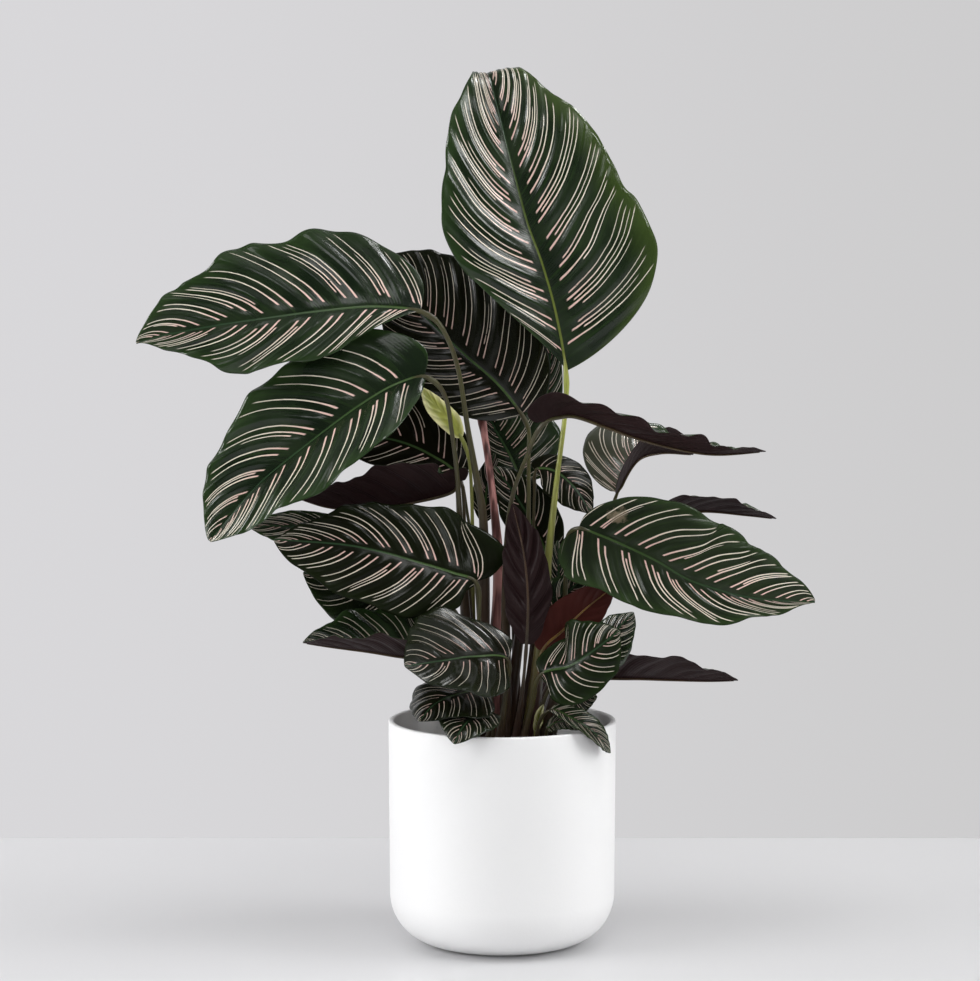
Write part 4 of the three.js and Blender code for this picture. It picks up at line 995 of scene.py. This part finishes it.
# %% Table of leaves
PLAIN_HALF = (0.42, 0.6, 0.85, 0.07)
PLAIN = dict(
    shape=(PLAIN_HALF, PLAIN_HALF), fold=0, curl=0, wave=(1, 2, 0.2), radius=1.6, stout=1.0,
    pairs=8, tone=0.7, dense=0.3, stripe_strength_and_shade=1.0, backlight_and_shade=0.0, young=0.0, polish="satin", first=-0.9,
    scar=0.0, painted_sheen=0.0, pleat=1.0, frill=0.8,
)
LEAVES = dict(
    leaf_top=dict(
        root=(20, 0), stem=((31, -2, 241), (36, -2, 304), (43, 0, 368), (50, 6, 426)),
        blade=((50, 8, 453), (42, 10, 499), (31, 12, 538), (20, 15, 568), (9, 20, 609), (-3, 30, 656),
        (-11, 46, 686), (-17, 76, 683)),
        half=(68, 89), shape=((0.48, 1.3, 1.6, 0), (0.28, 0.9, 0.95, 0)),
        faces=((-0.1, -1, 0.25), (-0.1, -0.9, 0.4), (0, -0.4, 1)), fold=(30, 14), curl=(-20, -18),
        wave=(4, 3, 0.1), radius=2.6,
        pairs=12, tone=0.0, dense=1.4, backlight_and_shade=0.35, first=0.35, frill=0.7,
    ),
    leaf_upper_left=dict(
        root=(-17, 8), stem=((-15, 10, 335), (-20, 8, 367), (-27, 6, 407), (-35, 2, 456), (-43, 0, 479),
        (-51, 0, 492)),
        blade=((-64, 0, 500), (-99, -6, 504), (-139, -12, 501), (-179, -18, 496), (-221, -24, 490),
        (-263, -28, 482), (-284, -30, 476)),
        half=(42, 67), shape=((0.57, 1.1, 1.5, 0), (0.33, 0.36, 0.8, 0)),
        faces=((0.1, -0.8, 0.6), (-0.1, -0.9, 0.4), (-0.2, -1, 0.2)), fold=(5, 12), curl=(-20, -15),
        wave=(5, 3.4, 0.05), radius=2.6,
        pairs=9, tone=0.55, dense=0.7, frill=1.6,
    ),
    leaf_left=dict(
        root=(-22, -4), stem=((-32, 12, 303), (-36, 8, 375), (-40, 4, 407), (-44, 0, 431),
        (-50, -2, 442)),
        blade=((-61, -4, 449), (-82, -10, 444), (-109, -18, 429), (-150, -28, 399), (-189, -36, 367),
        (-227, -42, 323)),
        half=(52, 62), shape=((0.45, 0.7, 0.8, 0.03), (0.34, 0.42, 0.72, 0.02)),
        faces=((-0.3, -0.87, 0.4), (-0.35, -0.85, 0.4)), fold=25, curl=-15, wave=(3, 3, 0.5), radius=2.4,
        pairs=9, tone=0.5, dense=0.7, first=0.35,
    ),
    leaf_back_centre=dict(
        root=(4, 26), stem=((20, 24, 302), (21, 20, 350), (21, 24, 388), (21, 28, 405)),
        blade=((15, 30, 418), (-3, 30, 441), (-30, 32, 465), (-65, 40, 498), (-104, 54, 536)),
        half=(46, 62), shape=((0.38, 0.6, 0.9, 0.02), (0.45, 0.5, 0.6, 0.05)), faces=(0, -1, 0.1), fold=8,
        curl=-15, wave=(3, 2, 0.2), radius=2.2,
        pairs=10, tone=0.5, dense=0.6, stripe_strength_and_shade=0.65, backlight_and_shade=-0.9,
    ),
    leaf_upper_right=dict(
        root=(3, -5), stem=((3, 3, 296), (5, 1, 336), (9, -6, 359), (15, -16, 377), (21, -26, 393),
        (25, -32, 404)),
        blade=((34, -36, 416), (51, -39, 422), (81, -42, 413), (103, -45, 405), (136, -48, 396),
        (163, -50, 392), (203, -52, 394)),
        half=(32, 42), shape=((0.4, 0.5, 0.85, 0.05), (0.38, 0.5, 0.8, 0.12)),
        faces=((0, 0, 1), (0.1, 0, 1)), fold=(12, (50, 22, 21, 21, 20, 20, 19, 18)), wave=(3, 3, 0.2),
        radius=2.2,
        pairs=9, tone=0.5, dense=0.7, frill=2.6,
    ),
    leaf_right_back=dict(
        root=(30, 27), stem=((55, 40, 235), (79, 52, 298), (89, 54, 340)),
        blade=((93, 54, 353), (109, 58, 379), (128, 68, 384), (156, 86, 381)),
        half=(52, 32), faces=((-0.3, -0.6, 0.7), (0, -0.3, 1)), fold=(15, 62), wave=(2, 2, 0.1),
        pairs=14, tone=0.6, dense=0.9, stripe_strength_and_shade=1.1, polish="glossy", painted_sheen=0.6,
    ),
    leaf_right=dict(
        root=(29, -8), stem=((43, -4, 201), (47, 0, 241), (50, 2, 280), (50, 1, 310), (53, -2, 325)),
        blade=((60, -8, 330), (77, -14, 325), (99, -20, 316), (121, -28, 306), (144, -36, 293),
        (166, -42, 286), (186, -46, 281), (215, -50, 278), (242, -52, 277)),
        half=(58, 46), shape=((0.42, 0.45, 0.7, 0), (0.16, 0.5, 1.2, 0.13)),
        faces=((0, -0.8, 0.6), (0.1, -0.8, 0.55)), fold=(8, 5), curl=-15, wave=(3, 4, 0.4), radius=2.4,
        pairs=10, tone=0.5, dense=0.35, stripe_strength_and_shade=1.15, polish="dull", scar=1.0, painted_sheen=0.07,
    ),
    leaf_right_behind=dict(
        root=(36, 8), stem=((46, 18, 222), (70, 32, 301)),
        blade=((93, 38, 326), (127, 44, 333), (159, 46, 339), (195, 44, 336), (220, 40, 333)),
        half=38, faces=(0, 0, 1), fold=(10, 25), wave=(2, 3, 0.1), radius=1.8,
        dense=0.7,
    ),
    leaf_left_back=dict(
        root=(-13, 19), stem=((-19, 32, 268), (-27, 42, 332)),
        blade=((-36, 46, 368), (-58, 50, 384), (-86, 54, 395), (-122, 58, 398), (-155, 60, 393)),
        half=(24, 44), faces=(0, -0.9, 0.4), fold=5, curl=-10, wave=(2, 2, 0.1), radius=1.8,
        pairs=7, tone=0.6, stripe_strength_and_shade=0.7, backlight_and_shade=-1.0, polish="dull",
    ),
    leaf_left_under=dict(
        root=(-25, 8), stem=((-26, 18, 270), (-30, 24, 334)),
        blade=((-33, 26, 364), (-40, 25, 357), (-69, 22, 349), (-110, 18, 343), (-138, 14, 345),
        (-162, 12, 352)),
        half=(44, 24), faces=(0, 0, 1), fold=((56, 44), 8), wave=(2, 3, 0.1), radius=1.8,
    ),
    leaf_left_front=dict(
        root=(-24, -16), stem=((-22, -22, 228), (-18, -18, 267)),
        blade=((-21, -18, 289), (-39, -24, 297), (-68, -34, 307), (-89, -42, 314), (-118, -50, 321),
        (-153, -58, 325), (-176, -62, 327)),
        half=(46, 50), shape=((0.42, 0.6, 0.75, 0.05), (0.18, 0.42, 1, 0.07)),
        faces=((0, -0.85, 0.5), (-0.1, -0.9, 0.45)), fold=(0, 6), curl=-15, wave=(3, 3, 0.2), radius=2.2,
        pairs=9, tone=0.6, stripe_strength_and_shade=0.85, backlight_and_shade=-0.8, polish="dull",
    ),
    leaf_low_left=dict(
        root=(-33, -6), stem=((-32, -6, 210), (-32, 2, 248)),
        blade=((-40, 5, 266), (-65, 4, 274), (-100, 0, 282), (-136, -4, 289), (-157, -6, 295)),
        half=(42, 20), faces=(0, -0.9, 0.45), curl=-10, wave=(2, 2, 0.6), radius=1.8,
        pairs=6, tone=0.6, dense=0.2, stripe_strength_and_shade=0.8, backlight_and_shade=-0.5,
    ),
    leaf_low_left_edge=dict(
        root=(-34, -17), stem=((-37, -20, 192), (-33, -26, 217)),
        blade=((-39, -32, 232), (-72, -40, 233), (-104, -44, 238), (-134, -47, 242), (-155, -48, 245)),
        half=(36, 42), faces=(0, 0, 1), fold=(28, 54), wave=(2, 3, 0.1), radius=1.7,
        tone=0.6, stripe_strength_and_shade=0.7,
    ),
    leaf_front_left=dict(
        root=(-4, -34), stem=((2, -38, 199),),
        blade=((4, -50, 232), (-21, -74, 238), (-45, -96, 238), (-74, -114, 236)),
        half=(38, 54), faces=((0, -0.75, 0.66), (-0.2, -0.7, 0.7)), fold=(0, 10), curl=-20,
        wave=(2, 2, 0.2), radius=2,
        pairs=5.5, tone=0.6, dense=0.1, stripe_strength_and_shade=0.6, backlight_and_shade=-0.8,
    ),
    leaf_front_left_low=dict(
        root=(-14, -30), stem=((-8, -34, 186),),
        blade=((-12, -44, 206), (-33, -60, 207), (-52, -74, 201), (-64, -84, 189)),
        half=(34, 42), faces=((-0.1, -0.5, 0.9), (-0.5, -0.5, 0.7)), curl=-20, radius=1.7,
        pairs=5.5, tone=0.6, dense=0.1, stripe_strength_and_shade=0.6, backlight_and_shade=-0.8,
    ),
    leaf_over_rim=dict(
        root=(-8, -42), stem=((-7, -48, 183),),
        blade=((-8, -58, 192), (-20, -74, 192), (-30, -94, 187), (-37, -103, 175)),
        half=(20, 28), faces=((0, -0.3, 1), (-0.2, -0.9, 0.4)), curl=-15, wave=(0, 2, 0.2), radius=1.5,
        pairs=5.5, dense=0.1, stripe_strength_and_shade=0.7, backlight_and_shade=-0.6,
    ),
    leaf_front_right=dict(
        root=(14, -32), stem=((22, -36, 190),),
        blade=((30, -46, 220), (51, -58, 228), (68, -66, 240), (90, -72, 258)),
        half=(34, 31), faces=((0, -0.8, 0.6), (0.1, -0.9, 0.4)), curl=-15, wave=(2, 2, 0.2), radius=1.8,
        pairs=6.5, tone=0.5, dense=0.1, stripe_strength_and_shade=0.75, backlight_and_shade=-0.5, polish="dull",
    ),
    leaf_right_low_glossy=dict(
        root=(26, -20), stem=((30, -20, 188),),
        blade=((50, -30, 226), (68, -36, 238), (85, -39, 251), (102, -40, 268)),
        half=(16, 24), faces=(0, -0.9, 0.4), curl=-10, wave=(2, 2, 0.7),
        tone=0.5, dense=0.2, stripe_strength_and_shade=0.8, polish="glossy",
    ),
    leaf_right_red=dict(
        root=(20, -12), stem=((28, -10, 194),),
        blade=((32, -8, 234), (47, -8, 249), (66, -8, 267), (88, -6, 284)),
        half=20, faces=(0, 1, 0.15),
        tone=1.5, dense=0.7,
    ),
    leaf_centre_upright=dict(
        root=(9, -17), stem=((15, -19, 196),),
        blade=((19, -22, 242), (20, -23, 275), (17, -19, 310), (8, -11, 350)),
        half=19, faces=((0, 1, 0.1), (0, 1, 0.4)), fold=12, wave=(1, 3, 0.2), radius=1.7,
        pairs=6, tone=0.8, dense=0.7, pleat=2.2, frill=2.4,
    ),
    leaf_right_rim=dict(
        root=(26, -42), stem=((29, -46, 183),),
        blade=((38, -52, 193), (56, -58, 186), (71, -58, 176), (84, -50, 159)),
        half=(12, 16), faces=((0, -0.4, 1), (0.6, -0.7, 0.5)), fold=20, wave=(0, 2, 0.2), radius=1.5,
        stripe_strength_and_shade=0.7,
    ),
    leaf_right_low_small=dict(
        root=(38, -24), stem=((44, -26, 179),),
        blade=((50, -30, 193), (61, -34, 198), (74, -38, 201)),
        half=14, faces=(0, -0.7, 0.7), wave=(0, 2, 0.2), radius=1.3,
        pairs=5.5, dense=0.1, stripe_strength_and_shade=0.6, backlight_and_shade=-0.5,
    ),
    leaf_right_low=dict(
        root=(38, -12), stem=((42, -10, 182), (54, -2, 201)),
        blade=((68, 4, 209), (101, -2, 211), (132, -10, 211), (163, -18, 211), (185, -24, 212)),
        half=38, faces=((0, 0, 1), (0.1, 0, 1)), fold=(10, 36), wave=(2, 3, 0.3), radius=1.7,
        tone=0.8, dense=0.7,
    ),
    leaf_centre_back=dict(
        root=(15, 14), stem=((25, 20, 238), (25, 28, 317), (26, 31, 357)),
        blade=((27, 32, 373), (40, 30, 373), (56, 26, 361), (71, 22, 339)),
        half=(20, 22), faces=((0.2, -0.8, 0.6), (0.4, -0.8, 0.4)), curl=-10,
        pairs=5.5, dense=0.1, stripe_strength_and_shade=0.55, backlight_and_shade=-0.9, polish="dull",
    ),
    leaf_back_green=dict(
        root=(26, 28), stem=((34, 34, 236), (39, 38, 276)),
        blade=((37, 40, 300), (27, 42, 324), (13, 43, 348), (-6, 44, 375)),
        half=(20, 24), faces=((-0.2, -0.9, 0.4), (0, -0.9, 0.4)), curl=-10, radius=1.4,
        pairs=6, tone=0.5, dense=0.1, stripe_strength_and_shade=0.7, backlight_and_shade=-0.8, polish="dull",
    ),
    leaf_back_striped=dict(
        root=(-2, 14), stem=((-2, 34, 236), (0, 52, 298), (10, 58, 338)),
        blade=((14, 60, 362), (7, 66, 381), (-5, 72, 402), (-16, 76, 423)),
        half=(14, 46), faces=(0, -0.9, 0.3), curl=-10,
        tone=0.5, stripe_strength_and_shade=0.7,
    ),
    leaf_back_small=dict(
        root=(-4, 34), stem=((-11, 44, 235), (-14, 54, 298)),
        blade=((-14, 58, 330), (-13, 58, 350), (-10, 58, 367), (-6, 58, 385)),
        half=11, faces=(0, -1, 0.2), wave=(0, 2, 0.2), radius=1.3,
        pairs=6, tone=0.6, dense=0.2, stripe_strength_and_shade=0.6, backlight_and_shade=-0.8, polish="dull",
    ),
    leaf_back_right_small=dict(
        root=(36, 20), stem=((53, 24, 221), (52, 27, 245)),
        blade=((49, 28, 259), (46, 28, 277), (45, 28, 296), (44, 28, 317)),
        half=11, faces=(0.2, -1, 0.2), wave=(0, 2, 0.2), radius=1.3,
        pairs=6, tone=0.6, stripe_strength_and_shade=0.7,
    ),
    leaf_yellow_sliver=dict(
        root=(-24, 24), stem=((-24, 20, 270), (-24, 18, 348), (-27, 17, 386)),
        blade=((-33, 16, 401), (-41, 15, 414), (-52, 14, 425), (-64, 14, 440)),
        half=(10, 8), faces=(0, -0.9, 0.4), wave=(0, 2, 0.2), radius=1.9,
        pairs=6, tone=0.2, dense=0.7, stripe_strength_and_shade=0.0, young=1.0,
    ),
    leaf_back_upper=dict(
        root=(14, 24), stem=((10, 46, 267), (16, 80, 344), (26, 86, 385)),
        blade=((31, 87, 401), (36, 87, 425), (39, 86, 454), (39, 86, 482)),
        half=(22, 12), faces=((0, -1, 0.2), (0, -1, 0.3)), radius=1.5,
        pairs=7, tone=0.6, stripe_strength_and_shade=0.8,
    ),
    leaf_new_rolled=dict(
        root=(24, -32), stem=((26, -34, 168),),
        blade=((26, -35, 174), (28, -35, 181), (29, -36, 187), (32, -36, 195)),
        half=5, faces=(0, -1, 0.2), fold=45, wave=(0, 2, 0.2),
        pairs=6, tone=0.2, dense=0.7, young=0.55,
    ),
    leaf_in_pot=dict(
        root=(34, -36), stem=((34, -38, 170),),
        blade=((35, -40, 176), (42, -44, 182), (51, -50, 183), (60, -56, 178)),
        half=10, faces=(0, -0.6, 0.8), wave=(0, 2, 0.2), radius=1.3,
        pairs=7, dense=0.2, stripe_strength_and_shade=0.6,
    ),
    leaf_left_tip=dict(
        root=(-36, 6), stem=((-48, 12, 223), (-61, 22, 270)),
        blade=((-81, 26, 293), (-121, 20, 314), (-160, 8, 329), (-200, -2, 331)),
        half=(26, 20), faces=(0, -0.8, 0.6), radius=1.5,
        tone=0.6,
    ),
    leaf_right_inner=dict(
        root=(12, 4), stem=((26, 6, 192), (32, 8, 223)),
        blade=((34, 8, 243), (40, 8, 262), (51, 9, 276), (66, 10, 291)),
        half=(20, 24), faces=(0, -1, 0.1),
        pairs=7, stripe_strength_and_shade=0.7,
    ),
    leaf_rear_upper=dict(
        root=(-8, 22), stem=((-6, 20, 206), (-2, 22, 270), (-4, 28, 317), (-10, 38, 372), (-14, 46, 399)),
        blade=((-18, 52, 419), (-27, 58, 445), (-40, 64, 475), (-60, 72, 507)),
        half=34, faces=(0, 1, 0.2), fold=8, curl=-10, wave=(2, 2, 0.1), radius=2.9,
        pairs=9, tone=2.0, dense=0.7, stout=1.35,
    ),
    leaf_rear_left=dict(
        root=(-24, 40), stem=((-26, 62, 232),),
        blade=((-37, 78, 268), (-67, 90, 284), (-106, 96, 297), (-151, 94, 304)),
        half=(28, 30), faces=(0, 1, 0.4), fold=8, curl=-10, wave=(2, 2, 0.3), radius=1.9,
    ),
    leaf_rear_right=dict(
        root=(22, 44), stem=((51, 62, 224),),
        blade=((73, 78, 271), (105, 88, 289), (149, 94, 287), (202, 92, 268)),
        half=28, faces=(0, 1, 0.4), fold=8, curl=-10, wave=(2, 2, 0.3), radius=1.9,
    ),
    leaf_rear_low_left=dict(
        root=(-20, 58), stem=((-16, 64, 170),),
        blade=((-21, 70, 190), (-36, 82, 206), (-51, 90, 218), (-64, 92, 225)),
        half=24, faces=(0, 1, 0.6), fold=6, curl=-10, wave=(1, 2, 0.3),
    ),
    leaf_rear_low_right=dict(
        root=(16, 60), stem=((23, 64, 170),),
        blade=((28, 70, 190), (44, 82, 208), (64, 90, 222), (84, 92, 228)),
        half=24, faces=(0, 1, 0.6), fold=6, curl=-10, wave=(1, 2, 0.3),
    ),
)
print("leaves:", len(LEAVES))

# %% [markdown]
# Larger leaves get more rows and columns, so that a pleat is always drawn by about ten rows. Each
# leaf gets its own seed, so that no two have the same broken stripes.

# %% Make the leaves
made = []
for seed, (name, given) in enumerate(LEAVES.items(), start=1):
    leaf = {**PLAIN, **given}
    length = LeafLine(leaf).blade_length
    leaf["grid"] = (150, 65) if length > 170 else (110, 51) if length > 100 else (70, 35)
    made.append(build_leaf(name, leaf, seed))
print("leaf faces:", sum(len(piece.data.polygons) for piece in made))

# %% [markdown]
# ## Sizes
# The bounds of the frame's plain solids and of the finished plant are printed side by side.

# %% Sizes and finish
sizes = dict(cad=[list(map(float, side)) for side in cad_box])
sizes["visual"] = [list(map(float, side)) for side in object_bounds()]
print(sizes)
